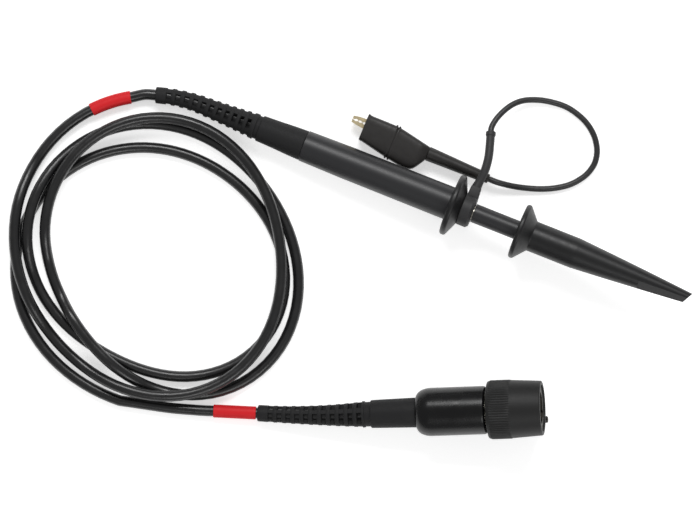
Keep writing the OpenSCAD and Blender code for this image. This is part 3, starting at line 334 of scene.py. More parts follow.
def skin_faces(rings, columns):
    """Faces of a closed skin whose rings are joined one after the other, and the last one to the first."""
    faces = []
    for i in range(rings):
        for k in range(columns):
            j, m = (k + 1) % columns, (i + 1) % rings
            faces.append((i * columns + k, i * columns + j, m * columns + j, m * columns + k))
    return faces


def swept(stations, columns):
    """Points and faces of a closed skin through rings. A station is a centre, a heading and a polar form.

    A polar form lists (angle, radius), the angle in degrees from the side towards the top."""
    points = []
    for centre, way, polar in stations:
        side = Vector((way.y, -way.x, 0)).normalized()
        top = side.cross(way)
        points += [centre + r * (math.cos(math.radians(a)) * side + math.sin(math.radians(a)) * top)
                   for a, r in polar]
    return points, skin_faces(len(stations), columns)


WALL_TURN = 2                     # degrees of a window's side wall
RIB_STEPS = 4


def window_columns(first, half):
    """Angles round a ring, with columns at the sides of its four windows; true for those inside a window."""
    inner = [(a, True) for a in (-half + WALL_TURN, -half / 2, 0, half / 2, half - WALL_TURN)]
    rib = [(half + (90 - 2 * half) * k / RIB_STEPS, False) for k in range(RIB_STEPS + 1)]
    return [(first + 90 * window + a, inside) for window in range(4) for a, inside in inner + rib]


def strain_relief(relief, window_angle, half, collar, bore):
    """Closed skin of a strain relief: collar outline, rings and windows outside, then its bore back again."""
    def boot_r(d):
        return TIP_R + (ROOT_R - TIP_R) * max(0, 1 - d / relief.length) ** 1.7

    columns = window_columns(window_angle, half)
    stations = []

    def ring_station(d, r, through=False):
        centre, way = relief.at(d) if d > 0 else (Vector((-d, 0, 0)), Vector((-1, 0, 0)))
        polar = [(a, CABLE_R - 0.1 if through and inside else r) for a, inside in columns]
        stations.append((centre, way, polar))

    for x, r in collar:
        ring_station(-x, r)
    for i in range(WINDOWS):
        step = relief.ring(i + 1) - relief.ring(i)
        mid, reach = relief.ring(i) + step / 2, WINDOW_SHARE * step / 2
        edge = [(reach + RING_INSET + RING_EDGE, 0), (reach + RING_INSET + 0.3 * RING_EDGE, 0.3 * NOTCH),
                (reach + RING_INSET, NOTCH), (reach, NOTCH)]
        for offset, drop in edge:
            ring_station(mid - offset, boot_r(mid - offset) - drop)
        for offset in (-reach + 0.03, 0, reach - 0.03):
            ring_station(mid + offset, boot_r(mid + offset) - NOTCH, True)
        for offset, drop in edge[::-1]:
            ring_station(mid + offset, boot_r(mid + offset) - drop)
    ring_station(relief.length - 0.5, TIP_R)
    for t in (0, 30, 60, 90):
        ring_station(relief.length - END_ROUND * (1 - math.sin(math.radians(t))),
                     TIP_R - END_ROUND * (1 - math.cos(math.radians(t))))
    ring_station(relief.length, SQUEEZED_R)
    for k in range(12, 0, -1):
        ring_station(relief.length * (k - 0.5) / 12, SQUEEZED_R)
    for x, r in bore:
        ring_station(-x, r)
    return swept(stations, len(columns))


# Thermoplastic rubber from a spark-eroded mould: matt black, with a fine even grain.
boot_rubber = textured("Black thermoplastic rubber, moulded matt", ["#1f1f20"], 0.25, 0.02, (0.55, 0.75),
                       {"IOR": 1.48, "Specular IOR Level": 0.25})

COLLAR = 17.25
SPIGOT_X, SPIGOT_R = 11.5, 3.75
BARREL_REAR_R = 4.95
# The collar narrows towards the cable and ends in a groove and a bead.
probe_collar = [
    (COLLAR, SPIGOT_R + SNUG), (COLLAR, BARREL_REAR_R - 0.4), (COLLAR - 0.08, BARREL_REAR_R - 0.25),
    (COLLAR - 0.25, BARREL_REAR_R - 0.17), (COLLAR - 0.6, BARREL_REAR_R - 0.16), (13, 4.66), (8.6, 4.4),
    (5, 4.25), (2.9, 4.17), (2.5, 4.15), (2.35, 4.08), (2.25, 3.95), (2.2, 3.7), (1.1, 3.7), (1.05, 3.95),
    (0.95, 4.06), (0.8, 4.1), (0.4, 4.08)]
probe_bore = [(FERRULE_X, SQUEEZED_R), (FERRULE_X, FERRULE_R + SNUG), (SPIGOT_X, FERRULE_R + SNUG),
              (SPIGOT_X, SPIGOT_R + SNUG)]
probe_relief_skin = strain_relief(probe_relief, 90, PROBE_WINDOW, probe_collar, probe_bore)
solid("probe_strain_relief", probe_relief_skin, probe, boot_rubber, "probe", ["probe_boot"],
      crease=50)

# ---- Barrel -----------------------------------------------------------------------------
# Tapered tube injection moulded in black ABS, with a satin grain. Its spigot carries the
# strain relief, and the brass shield tube is pushed into it.


def rounded(corners, steps=5):
    """Closed outline through corners (x, y, edge radius), with an arc at each and a point beside it."""
    outline = []
    for i, (x, y, r) in enumerate(corners):
        here = Vector((x, y))
        back, on = (Vector(corners[k % len(corners)][:2]) - here for k in (i - 1, i + 1))
        half = back.angle(on) / 2
        if r == 0:
            outline.append(here)
            continue
        reach = r / math.tan(half)
        if back.length > 2 * reach + 0.4:
            outline.append(here + back.normalized() * (reach + 0.1))
        centre = here + (back.normalized() + on.normalized()).normalized() * r / math.sin(half)
        arm = here + back.normalized() * reach - centre
        sweep = math.copysign(math.pi - 2 * half, back.cross(on))
        for k in range(steps + 1):
            a = -sweep * k / steps
            outline.append(centre + Vector((arm.x * math.cos(a) - arm.y * math.sin(a),
                                            arm.x * math.sin(a) + arm.y * math.cos(a))))
        if on.length > 2 * reach + 0.4:
            outline.append(here + on.normalized() * (reach + 0.1))
    return outline


# ABS from a mould with a fine grain: satin, with a broad soft highlight.
satin_abs = textured("Black ABS, moulded satin", ["#242426"], 0.2, 0.008, (0.34, 0.46),
                     {"IOR": 1.54, "Specular IOR Level": 0.4})

GUARD_X = 66.45
BARREL_FRONT_R = 5.3
BARREL_BORE = 3.95
SHIELD_X = 19.25
REAR_BORE = 2.4
SWELL_X, SWELL_R = 31, 5.183          # the barrel widens fast up to here, then hardly
barrel_outline = rounded([(SPIGOT_X, REAR_BORE, 0), (SPIGOT_X, SPIGOT_R, 0.2), (COLLAR, SPIGOT_R, 0),
                          (COLLAR, BARREL_REAR_R, 0.2), (SWELL_X, SWELL_R, 20),
                          (GUARD_X - SNUG, BARREL_FRONT_R, 0.25), (GUARD_X - SNUG, BARREL_BORE, 0),
                          (SHIELD_X, BARREL_BORE, 0), (SHIELD_X, REAR_BORE, 0)])
solid("barrel", lathe(barrel_outline), probe, satin_abs, "probe", ["barrel_shell"])

# ---- Finger guard -----------------------------------------------------------------------
# Disc injection moulded in glossy black ABS, its rear face flat and its front a shallow cone.
# Its plug is glued into the barrel's mouth and holds the metal nose tube.

# ABS from a polished mould: darker than the barrel and smoother, with wider and shallower waves.
gloss_abs = textured("Black ABS, moulded glossy", ["#131314"], 1.2, 0.004, (0.36, 0.44),
                     {"IOR": 1.54, "Specular IOR Level": 0.35})

GUARD_R, GUARD_RIM, GUARD_CONE, GUARD_HUB_R = 9.9, 2, 1.8, 5.2
NOSE_TUBE_R = 2.2
SHIELD_END = GUARD_X - 1.3
hub_x = GUARD_X + GUARD_RIM + GUARD_CONE
guard_outline = rounded([(SHIELD_END + 0.1, NOSE_TUBE_R + SNUG, 0), (SHIELD_END + 0.1, BARREL_BORE - SNUG, 0),
                         (GUARD_X, BARREL_BORE - SNUG, 0), (GUARD_X, GUARD_HUB_R, 0),
                         (GUARD_X, GUARD_R, 0.85),
                         (GUARD_X + GUARD_RIM - 0.25, GUARD_R, 0.8), (hub_x, GUARD_HUB_R, 0.25),
                         (hub_x, NOSE_TUBE_R + SNUG, 0)])
solid("guard_disc", lathe(guard_outline, 128), probe, gloss_abs, "probe", ["finger_guard"])

# ---- Nose of the probe ------------------------------------------------------------------
# A nickel-plated brass tube carries a white nose cone and the steel needle. Inside, the input
# resistor runs down the middle of its tubular capacitor, soldered between cable and needle.

# Nickel plate on turned brass: pale, faintly warm metal, bright but not a mirror.
nickel = textured("Nickel plate on turned brass", ["#cbc7bb"], 0.3, 0.004, (0.16, 0.3), {"Metallic": 1})
dress(nickel, "nose_tube", "connector_body", "outer_contact")
# Nickel plate with painted shade: dark grey metal on the pieces that turn, darkened so that they show no
# bright edge.
nickel_darkened_as_shade = textured("Nickel plate on brass, darkened as painted shade", ["#3d3b37"], 0.3, 0.006, (0.45, 0.6),
                       {"Metallic": 1})
dress(nickel_darkened_as_shade, "ring_collar", "bayonet_nut")
# Turned PTFE and acetal: dense waxy white with faint tool lines.
white_plastic = textured("White acetal, turned", ["#e9e5da"], 0.25, 0.008, (0.36, 0.52),
                         {"IOR": 1.48, "Subsurface Weight": 0.15, "Subsurface Scale": 0.8 * MM})
dress(white_plastic, "tip_insulator", "contact_insulator", "trimmer_body")
# Hardened steel, ground and polished.
tip_steel = textured("Hardened steel, ground", ["#c4c1b9"], 0.12, 0.003, (0.18, 0.34), {"Metallic": 1})
dress(tip_steel, "tip_needle", "hook_wire")
# Glazed ceramic body with a cream lacquer that runs thin towards its ends.
lacquer = textured("Cream lacquer on ceramic, dipped", ["#d9c9a2", "#c8b283"], 0.5, 0.01, (0.2, 0.35),
                   {"IOR": 1.5})
dress(lacquer, "input_resistor")
# Fired ceramic tube: brown, unglazed, with a fine sandy grain.
fired = textured("Brown ceramic, fired", ["#ad6f38", "#8f5527"], 0.15, 0.012, (0.5, 0.7), {"IOR": 1.6})
dress(fired, "input_capacitor")

# ---- Ground ring ------------------------------------------------------------------------
# A nickel-plated collar swivels on the nose tube. Round it is a ring of dark grey nylon with a
# bevelled front edge, and a block clamps the lead's conductor against the collar.

# Glass-filled nylon: lighter and duller than the ABS, with a faint mottle from the glass.
grey_nylon = textured("Dark grey nylon, moulded", ["#29292a", "#333334"], 0.35, 0.012, (0.45, 0.6),
                      {"IOR": 1.53, "Specular IOR Level": 0.3})

RING_W, RING_R, BLOCK_REACH, COLLAR_R = 3.7, 5.2, 8, 3.05
RING_BEVEL = 0.7
ring_outline = rounded([(RING_X, COLLAR_R + SNUG, 0), (RING_X, RING_R, 0.2),
                        (RING_X + RING_W - RING_BEVEL, RING_R, 0.15),
                        (RING_X + RING_W, RING_R - RING_BEVEL, 0.15), (RING_X + RING_W, COLLAR_R + SNUG, 0)])
solid("ground_ring", lathe(ring_outline), probe, grey_nylon, "ground_lead", ["ring_shell"])


def rounded_block(corners, edge):
    """Points and faces of the block between eight corners, its edges rounded."""
    work = bmesh.new()
    verts = [work.verts.new(c) for c in corners]
    bmesh.ops.convex_hull(work, input=verts)
    bmesh.ops.dissolve_limit(work, angle_limit=0.02, verts=work.verts[:], edges=work.edges[:])
    bmesh.ops.bevel(work, geom=work.edges[:], offset=edge, segments=4, profile=0.5, affect="EDGES")
    work.verts.index_update()
    shape = [v.co.copy() for v in work.verts], [[v.index for v in f.verts] for f in work.faces]
    work.free()
    return shape


block_rear, block_front = RING_X + 0.02, RING_X + RING_W - 0.02
# The block narrows from its root in the ring to its outer face: height over the axis, half width, inset.
block_corners = [(x, y, z) for y, half, inset in ((4.35, 2.05, 0), (BLOCK_REACH, 1.6, 0.25))
                 for x in (block_rear + inset, block_front - inset) for z in (-half, half)]
solid("ring_block", rounded_block(block_corners, 0.35), probe, grey_nylon, "ground_lead",
      ["ring_shell"])

# ---- Ground lead's arm ------------------------------------------------------------------
# Sleeve of soft PVC moulded over the wire where it leaves the ring's block. It rises over the
# clip's sleeve and comes down to the table, and it ends in a slightly wider lip.

# Moulded PVC with plasticiser: dark grey, dull, faintly uneven.
arm_vinyl = textured("Dark grey soft PVC, moulded", ["#2e2e2f"], 0.8, 0.02, (0.48, 0.62),
                     {"IOR": 1.5, "Specular IOR Level": 0.4})

ARM_R = 1.35
arm_start = probe @ Vector((RING_X + RING_W / 2, BLOCK_REACH, 0)) / MM
arm_points = [arm_start - Vector((0.1, 0.9, 0)), arm_start + Vector((0.3, 2.7, 0))]
arm_points += [Vector(p) for p in ((15.6, 13.9, 10.4), (15.1, 18, 9.8), (14, 22, 8.8), (12.9, 25.6, 7.7))]
arm_route = smooth_route(arm_points, 6)


def along(points, outline, columns=24):
    """Closed skin along points: its outline lists (share of the route, radius), outside and back inside."""
    lengths = [0]
    for a, b in zip(points, points[1:]):
        lengths.append(lengths[-1] + (b - a).length)
    stations = []
    for share, r in outline:
        target = share * lengths[-1]
        i = min(max(sum(1 for s in lengths if s < target), 1), len(points) - 1)
        a, b = points[i - 1], points[i]
        centre = a.lerp(b, (target - lengths[i - 1]) / (lengths[i] - lengths[i - 1]))
        before, after = points[max(i - 2, 0)], points[min(i + 1, len(points) - 1)]
        way = (b - a).normalized() + (after - before).normalized()
        stations.append((centre, way.normalized(), [(360 * k / columns, r) for k in range(columns)]))
    return swept(stations, columns)


SKIN_R = 0.95
arm_len = sum((b - a).length for a, b in zip(arm_route, arm_route[1:]))
lip = 1.5 / arm_len
arm_outline = [(0, 0.6), (0, ARM_R + 0.25), (0.04, ARM_R + 0.2), (0.1, ARM_R + 0.05)]
arm_outline += [(0.15 + (0.85 - lip) * k / 24, ARM_R) for k in range(24)]
arm_outline += [(1 - lip, ARM_R), (1 - 0.95 * lip, ARM_R + 0.16), (1 - 0.8 * lip, ARM_R + 0.22),
                (1 - 0.2 * lip, ARM_R + 0.22), (1 - 0.05 * lip, ARM_R + 0.12), (1, ARM_R - 0.05), (1, 0.6)]
arm_outline += [(1 - k / 12, 0.6) for k in range(1, 12)]
METRES = Matrix.Scale(MM, 4)
solid("lead_arm", along(arm_route, arm_outline), METRES, arm_vinyl, "ground_lead",
      ["ground_arm"])

# ---- Ground wire ------------------------------------------------------------------------
# Stranded wire, 1.9 mm over its soft PVC skin. It comes out of the moulded arm, makes one
# round loop on the table and goes into the bead of the clip's sleeve.

wire_points = [
    (12.9, 25.6, 7.7), (12.6, 27.2, 7.2), (13.1, 30.2, 6.2), (14.6, 33.8, 4.9), (16.7, 36.8, 3.7),
    (19.5, 39, 2.6), (23.3, 40.6, 1.7), (27.3, 41.5, 1.2), (31.9, 41.8, 1), (36.1, 41, 1), (40, 39.4, 1),
    (43.3, 36.9, 1), (45.6, 33.8, 1), (46.7, 30.8, 1), (46.8, 27.6, 1), (45.5, 23.8, 1), (42.5, 19.9, 1),
    (38.5, 17, 1), (34.1, 14.9, 1.1), (29.5, 13.4, 1.6), (25.3, 12.4, 2.5), (21.1, 11.8, 3.4)]
JAW_PIN = Vector((10.6, 0.6, 0))
jaw_hinge = Vector(joints["clip_jaw_open"]["pos_m"])
clip_turn = math.radians(179)
clip_along = Vector((math.cos(clip_turn), math.sin(clip_turn), 0))
clip_up = Vector((0, 0, 1))
clip_across = clip_up.cross(clip_along)
clip = axes_at(jaw_hinge - MM * (JAW_PIN.x * clip_along + JAW_PIN.y * clip_across), clip_along, clip_up)
SLEEVE_LEN, BEAD_LEN = 18, 2.6
wire_end = clip @ Vector((-SLEEVE_LEN - BEAD_LEN, 0, 0)) / MM
wire_route = smooth_route([Vector(p) for p in wire_points] + [wire_end], 5)

# Plasticised PVC: softer and duller than the cable's jacket.
wire_skin = textured("Soft black PVC wire skin, extruded", ["#242425"], 1.2, 0.015, (0.36, 0.5),
                     {"IOR": 1.5})
ground_wire = cord_curve("ground_wire_skin", wire_route, SKIN_R, wire_skin)
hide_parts("ground_wire")
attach(ground_wire, "ground_lead")

# ---- Ground clip's cover ----------------------------------------------------------------
# Hollow boot of soft dark PVC, dip moulded and pulled over the jaws: flat-sided, with a hump
# for the thumb and a double ridge round it. A tapered sleeve behind it ends in a bead.

# Dip-moulded PVC: a warm dark grey with a soft sheen and a faint waviness.
clip_vinyl = textured("Dark grey soft PVC, dip moulded", ["#211f1e"], 1.6, 0.04, (0.42, 0.54),
                      {"IOR": 1.5, "Specular IOR Level": 0.4})

BOOT_LEN, RIDGE_X, THICK, CLIP_WALL = 21.8, 11.6, 6.6, 0.8
# Sides of the boot seen from above: towards the table's far side and towards the probe.
far_side = [(0, -2.1), (4, -2.85), (8, -3.6), (RIDGE_X, -4.15), (16, -4.2), (20.4, -4.15), (BOOT_LEN, -4.3)]
near_side = [(0, 2.1), (1.2, 4.2), (2.5, 6.1), (4.1, 6.9), (6.8, 6.95), (RIDGE_X, 6.25), (16.5, 5.3),
             (BOOT_LEN, 4.2)]


def side_at(side, x):
    """Width of the boot on one side at distance x, on a smooth curve."""
    curve = smooth_route([Vector(p) for p in side], 6)
    for a, b in zip(curve, curve[1:]):
        if x <= b.x:
            return a.y + (b.y - a.y) * (x - a.x) / (b.x - a.x)
    return curve[-1].y


SQUARENESS = 0.42                 # 1 makes the boot's section an ellipse, 0 a box


def boot_ring(x, grow):
    """Rounded oblong round the boot at distance x, grown by so many millimetres."""
    low, high = side_at(far_side, min(max(x, 0), BOOT_LEN)), side_at(near_side, min(max(x, 0), BOOT_LEN))
    half_y, half_z = (high - low) / 2 + grow, min(THICK / 2, 2.1 + 0.5 * max(x, 0)) + min(grow, 0)
    points = []
    for k in range(40):
        a = math.radians(9 * k)
        y = math.copysign(abs(math.cos(a)) ** SQUARENESS, math.cos(a)) * half_y
        z = math.copysign(abs(math.sin(a)) ** SQUARENESS, math.sin(a)) * half_z
        points.append(Vector((x, (low + high) / 2 + y, z)))
    return points


def loft(rings):
    """Points and faces of a closed skin through rings with as many points each, capped at its two ends."""
    n = len(rings[0])
    points = [p for ring in rings for p in ring]
    faces = [(i * n + k, i * n + (k + 1) % n, (i + 1) * n + (k + 1) % n, (i + 1) * n + k)
             for i in range(len(rings) - 1) for k in range(n)]
    return points, faces + [list(range(n)), [len(points) - n + k for k in range(n)]]


ridge = [(-1, 0), (-0.85, 0.08), (-0.7, 0.4), (-0.5, 0.48), (-0.3, 0.4), (-0.14, 0), (0, -0.1),
         (0.14, 0), (0.3, 0.4), (0.5, 0.48), (0.7, 0.4), (0.85, 0.08), (1, 0)]
outside = [(0.02, -0.35), (0.06, -0.15), (0.25, 0), (0.6, 0)] + [(1 + 0.8 * k, 0) for k in range(12)]
outside += [(RIDGE_X + dx, grow) for dx, grow in ridge] + [(13 + 0.8 * k, 0) for k in range(10)]
outside += [(20.8, 0), (21.1, 0.12), (21.5, 0.16), (21.7, 0.1), (BOOT_LEN, -0.1)]
inside = [(BOOT_LEN, -CLIP_WALL + 0.15), (21.6, -CLIP_WALL)] + [(20 - 2 * k, -CLIP_WALL) for k in range(9)]
inside += [(2.6, -CLIP_WALL), (1.2, -CLIP_WALL)]
solid("clip_cover", loft([boot_ring(x, grow) for x, grow in outside + inside]), clip, clip_vinyl,
      "ground_lead", ["clip_boot"], crease=60)

sleeve_outline = rounded([(-SLEEVE_LEN - BEAD_LEN, 0.6, 0), (-SLEEVE_LEN - BEAD_LEN, 1.5, 0.3),
                          (-SLEEVE_LEN - 0.35, 1.5, 0.2), (-SLEEVE_LEN - 0.3, 1.3, 0.05),
                          (-SLEEVE_LEN, 1.3, 0.05),
                          (-SLEEVE_LEN, 1.72, 0.25), (0.05, 2.3, 0.1), (0.05, 0.6, 0)])
solid("clip_sleeve_cover", lathe(sleeve_outline, 48), clip, clip_vinyl, "ground_lead",
      ["clip_sleeve"])

# ---- Ground clip's jaws -----------------------------------------------------------------
# Two jaws pressed from sheet steel and nickel plated, one folded round the other, on a riveted
# pin, with a wire spring behind them. The wire's strands are crimped into the fixed jaw.

# Nickel plate over pressed steel: a warm, uneven sheen with draw lines.
jaw_plate = textured("Warm nickel plate on pressed steel", ["#f3e6c4", "#cdb98a"], 0.5, 0.03, (0.28, 0.46),
                     {"Metallic": 1})
dress(jaw_plate, "fixed_jaw", "moving_jaw", "jaw_pin")
# Spring wire: grey, drawn, with fine lines along it.
spring_wire = textured("Spring steel wire, drawn", ["#96958f"], 0.1, 0.004, (0.25, 0.42), {"Metallic": 1})
dress(spring_wire, "jaw_spring", "hook_spring", "readout_spring", "spring_washer", "retaining_ring")

# ---- Hook tip ---------------------------------------------------------------------------
# The neck is a tube of black ABS that is pushed over the nose tube, with a brass socket for the
# needle and the steel hook. The sleeve slides on it against a coil spring and bares the hook.

dress(satin_abs, "hook_core")

FLANGE_X, FLANGE_R, FLANGE_RIM = 89.05, 8.8, 1.7
SLEEVE_X, NOSE_X, NOSE_LEN, TIP_X = 93.85, 108.25, 38.6, 146.85
SLEEVE_R, NOSE_TIP_R = 4.85, 1.7
SHOULDER_X, SPRING_END = 94.85, 120.45
CHISEL_LEN, CHISEL_DEPTH, CHISEL_STEP, CHISEL_TURN, TIP_LEAN = 17.2, 0.5, 0.6, 50, 28
HOOK_BORE, CHAMBER_R, NECK_R = 0.85, 3.7, 3


def nose_r(u):
    """Radius of the nose at a share u of its length: a short round shoulder, then a straight taper."""
    return SLEEVE_R - (SLEEVE_R - NOSE_TIP_R) * (0.86 * u + 0.14 * u * u)


sleeve_shape = rounded([(FLANGE_X, NECK_R + SNUG, 0.1), (FLANGE_X, FLANGE_R, 0.75),
                        (FLANGE_X + FLANGE_RIM - 0.3, FLANGE_R, 0.7), (SLEEVE_X, SLEEVE_R, 0.5),
                        (NOSE_X, SLEEVE_R, 6)]
                       + [(NOSE_X + NOSE_LEN * u, nose_r(u), 0) for u in (0.3, 0.6, 0.85)]
                       + [(TIP_X, NOSE_TIP_R, 0), (TIP_X, HOOK_BORE, 0), (SPRING_END, HOOK_BORE, 0),
                          (SPRING_END, CHAMBER_R, 0), (SHOULDER_X, CHAMBER_R, 0),
                          (SHOULDER_X, NECK_R + SNUG, 0)])


def cut_box(piece, place, size):
    """Cuts a box out of a piece: the box starts at its place's origin, and its width is centred there."""
    x, y, z = size
    corners = [place @ Vector((i * x, (j - 0.5) * y, k * z)) for i in (0, 1) for j in (0, 1) for k in (0, 1)]
    mesh = bpy.data.meshes.new("cutter")
    mesh.from_pydata(corners, [], [(0, 1, 3, 2), (4, 6, 7, 5), (0, 4, 5, 1), (2, 3, 7, 6), (0, 2, 6, 4),
                                   (1, 5, 7, 3)])
    cutter = bpy.data.objects.new("cutter", mesh)
    bpy.context.scene.collection.objects.link(cutter)
    cut = piece.modifiers.new("cut", "BOOLEAN")
    cut.operation, cut.solver, cut.object = "DIFFERENCE", "EXACT", cutter
    bpy.context.view_layer.update()
    shape = bpy.data.meshes.new_from_object(piece.evaluated_get(bpy.context.evaluated_depsgraph_get()))
    piece.modifiers.clear()
    piece.data = shape
    bpy.data.objects.remove(cutter)


hook_cover = solid("hook_cover", lathe(sleeve_shape, 120), probe, gloss_abs, "hook_grip",
                   ["hook_sleeve"])
flat_r = nose_r(1 - CHISEL_LEN / NOSE_LEN) - CHISEL_STEP
flat_slope = math.atan((flat_r - NOSE_TIP_R + CHISEL_DEPTH) / CHISEL_LEN)
flat_place = (probe @ Matrix.Translation((TIP_X - CHISEL_LEN, 0, 0))
              @ Matrix.Rotation(math.radians(CHISEL_TURN), 4, "X")
              @ Matrix.Rotation(flat_slope, 4, "Y") @ Matrix.Translation((0, 0, flat_r)))
cut_box(hook_cover, flat_place, (CHISEL_LEN + 6, 12, 6))
end_place = (probe @ Matrix.Translation((TIP_X, NOSE_TIP_R, 0))
             @ Matrix.Rotation(math.radians(-TIP_LEAN), 4, "Z") @ Matrix.Translation((0, -2, -4)))
cut_box(hook_cover, end_place, (6, 12, 8))
hook_cover.data.shade_smooth()
hook_cover.data.set_sharp_from_angle(angle=math.radians(30))

# ---- Marker bands -----------------------------------------------------------------------
# Two pieces of red heat-shrink tube, one near each end of the cable, shrunk onto the jacket.

# Shrunk polyolefin: a flat, slightly dull red that shows the jacket's waviness.
red_shrink = textured("Red polyolefin tube, heat shrunk", ["#d51d24"], 1, 0.02, (0.5, 0.62),
                      {"IOR": 1.5, "Specular IOR Level": 0.25})

BAND_R = 2.045
BAND_EDGE = 0.12
band_outline = [(0, SQUEEZED_R), (0, BAND_R - BAND_EDGE), (0.004, BAND_R - 0.03), (0.012, BAND_R)]
band_outline += [(0.03 + 0.94 * k / 20, BAND_R) for k in range(21)]
band_outline += [(0.988, BAND_R), (0.996, BAND_R - 0.03), (1, BAND_R - BAND_EDGE), (1, SQUEEZED_R)]
band_outline += [(1 - k / 16, SQUEEZED_R) for k in range(1, 16)]


def stretch(points, middle, length):
    """The part of a route that is centred on one of its points and has a given length, in steps of 0.4 mm."""
    fine = smooth_route(points, 10)
    centre = min(range(len(fine)), key=lambda i: (fine[i] - middle).length)
    chosen = [fine[centre]]
    for step in (-1, 1):
        i, far = centre, 0
        while far < length / 2:
            far += (fine[i + step] - fine[i]).length
            i += step
            chosen = [fine[i]] + chosen if step < 0 else chosen + [fine[i]]
    return chosen


BAND_ANGLE, COIL_BAND_LEN, TAIL_BAND_LEN = 106.5, 12.8, 13.3
coil_part = [coil_point(BAND_ANGLE + 2 * k) for k in range(-8, 9)]
coil_part = stretch(coil_part, coil_point(BAND_ANGLE), COIL_BAND_LEN)
solid("red_band_at_probe", along(coil_part, band_outline, 48), METRES, red_shrink, "probe",
      ["coil_band"])
tail_end = plug @ plug_relief.at(plug_relief.length)[0] / MM
tail_from = cable_tail[5]
tail_way = (tail_end - tail_from).normalized()
tail_part = [tail_from + tail_way * TAIL_BAND_LEN * k / 8 for k in range(9)]
solid("red_band_at_plug", along(tail_part, band_outline, 48), METRES, red_shrink, "probe",
      ["tail_band"])

# ---- Plug's strain relief ---------------------------------------------------------------
# Like the probe's, with evenly spaced, wider windows that are rolled, and a wider collar
# that the two halves of the housing clamp. The crimped ferrule sits inside it.

PLUG_COLLAR = 16.4
COLLAR_SPIGOT_R, REAR_WALL = 3.4, 2
PLUG_FERRULE_X = 7
plug_collar_outline = [
    (PLUG_COLLAR + REAR_WALL, FERRULE_R + SNUG), (PLUG_COLLAR + REAR_WALL, COLLAR_SPIGOT_R),
    (PLUG_COLLAR, COLLAR_SPIGOT_R), (PLUG_COLLAR, 4.62), (PLUG_COLLAR - 0.15, 4.7), (12, 4.61), (6, 4.49),
    (2.8, 4.42), (2.35, 4.4), (2.15, 4.33), (2.05, 4.2), (1.98, 3.9), (0.3, 3.85), (0.18, 4.02),
    (0.05, 4.12), (-0.1, 4.15), (-0.55, 4.15)]
plug_bore = [(PLUG_FERRULE_X, SQUEEZED_R), (PLUG_FERRULE_X, FERRULE_R + SNUG)]
WINDOW_ROLL = 23                  # degrees that the plug's windows are rolled
plug_relief_skin = strain_relief(plug_relief, 90 + WINDOW_ROLL, PLUG_WINDOW, plug_collar_outline, plug_bore)
solid("plug_strain_relief", plug_relief_skin, plug, boot_rubber, "probe", ["plug_boot"],
      crease=50)
dress(brass, "plug_ferrule", "trimmer_screw", "centre_pin")
PLUG_CORE_X, PLUG_STRIP_X, PLUG_WIRE_X = 13.5, 21.9, 30.4
plug_core_outline = [(PLUG_CORE_X, 0), (PLUG_CORE_X, CORE_R), (PLUG_STRIP_X, CORE_R),
                     (PLUG_STRIP_X, COPPER_R), (PLUG_WIRE_X, COPPER_R), (PLUG_WIRE_X, 0)]
solid("plug_cable_core", lathe(plug_core_outline, 32), plug, core_plastic, "probe")

# ---- Plug housing -----------------------------------------------------------------------
# Two half shells, injection moulded in polished black polycarbonate and screwed together from
# below. The lower one carries the keel, a round boss that guides the readout pin.

# Polycarbonate from a polished mould: deep black with a soft narrow highlight.
piano_black = textured("Black polycarbonate, moulded and polished", ["#0c0c0d"], 3, 0.008, (0.22, 0.3),
                       {"IOR": 1.58, "Specular IOR Level": 0.25})

HOUSING_X, HOUSING_FRONT, HOUSING_R, HOUSING_WALL, THROAT_R = 16.4, 38.4, 7.55, 1.3, 4.05
SHOULDER_LEN, REAR_R = 4.6, 4.8
SPLIT = 0.2                       # degrees of the fine gap between the halves


def shoulder(inset):
    """Outline of the round body from its rear hole to its front hole, drawn in by a wall thickness."""
    curve = [Vector((HOUSING_X + inset + SHOULDER_LEN * (1 - math.cos(math.radians(5 * i))),
                     REAR_R - inset + (HOUSING_R - REAR_R) * math.sin(math.radians(5 * i))))
             for i in range(19)]
    front = rounded([(HOUSING_FRONT - inset - 4, HOUSING_R - inset, 0),
                     (HOUSING_FRONT - inset, HOUSING_R - inset, 0.9), (HOUSING_FRONT - inset, THROAT_R, 0)])
    return [Vector((HOUSING_X + inset, COLLAR_SPIGOT_R + SNUG))] + curve + front


housing_outline = shoulder(0) + shoulder(HOUSING_WALL)[::-1]
for name, first, stands_for in (("housing_upper", 0, "housing_top"),
                                ("housing_lower", 180, "housing_bottom")):
    half_shell = lathe(housing_outline, 72, first + SPLIT, first + 180 - SPLIT)
    solid(name, half_shell, plug_rolled, piano_black, "probe", [stands_for])

KEEL_R, KEEL_DROP, KEEL_X, KEEL_END, GUIDE_R, GUIDE_END = 1.8, 10.5, 26, 38.4, 1.1, 52.5
CHANNEL_X, SPRING_LEN, SPRING_BORE, PIN_BORE = KEEL_X + 1.2, 5.9, 1.1, 0.65
spring_seat = CHANNEL_X + SPRING_LEN
keel_outline = rounded([(CHANNEL_X, 0, 0), (KEEL_X, 0, 0), (KEEL_X, KEEL_R, 0.8), (KEEL_END, KEEL_R, 0.5),
                        (KEEL_END, GUIDE_R, 0.1), (GUIDE_END, GUIDE_R, 0.15), (GUIDE_END, PIN_BORE, 0),
                        (spring_seat, PIN_BORE, 0), (spring_seat, SPRING_BORE, 0),
                        (CHANNEL_X, SPRING_BORE, 0)])
keel_points, keel_faces = lathe(keel_outline, 64)
web_low, web_high = -KEEL_DROP + 0.3, -HOUSING_R + 0.7
web = [(x, y, z) for x in (KEEL_X + 0.5, KEEL_END - 0.1) for y in (-KEEL_R + 0.1, KEEL_R - 0.1)
       for z in (web_low, web_high)]
web_points, web_faces = rounded_block(web, 0.2)
keel_points = [p - Vector((0, 0, KEEL_DROP)) for p in keel_points]
keel_faces += [[len(keel_points) + i for i in face] for face in web_faces]
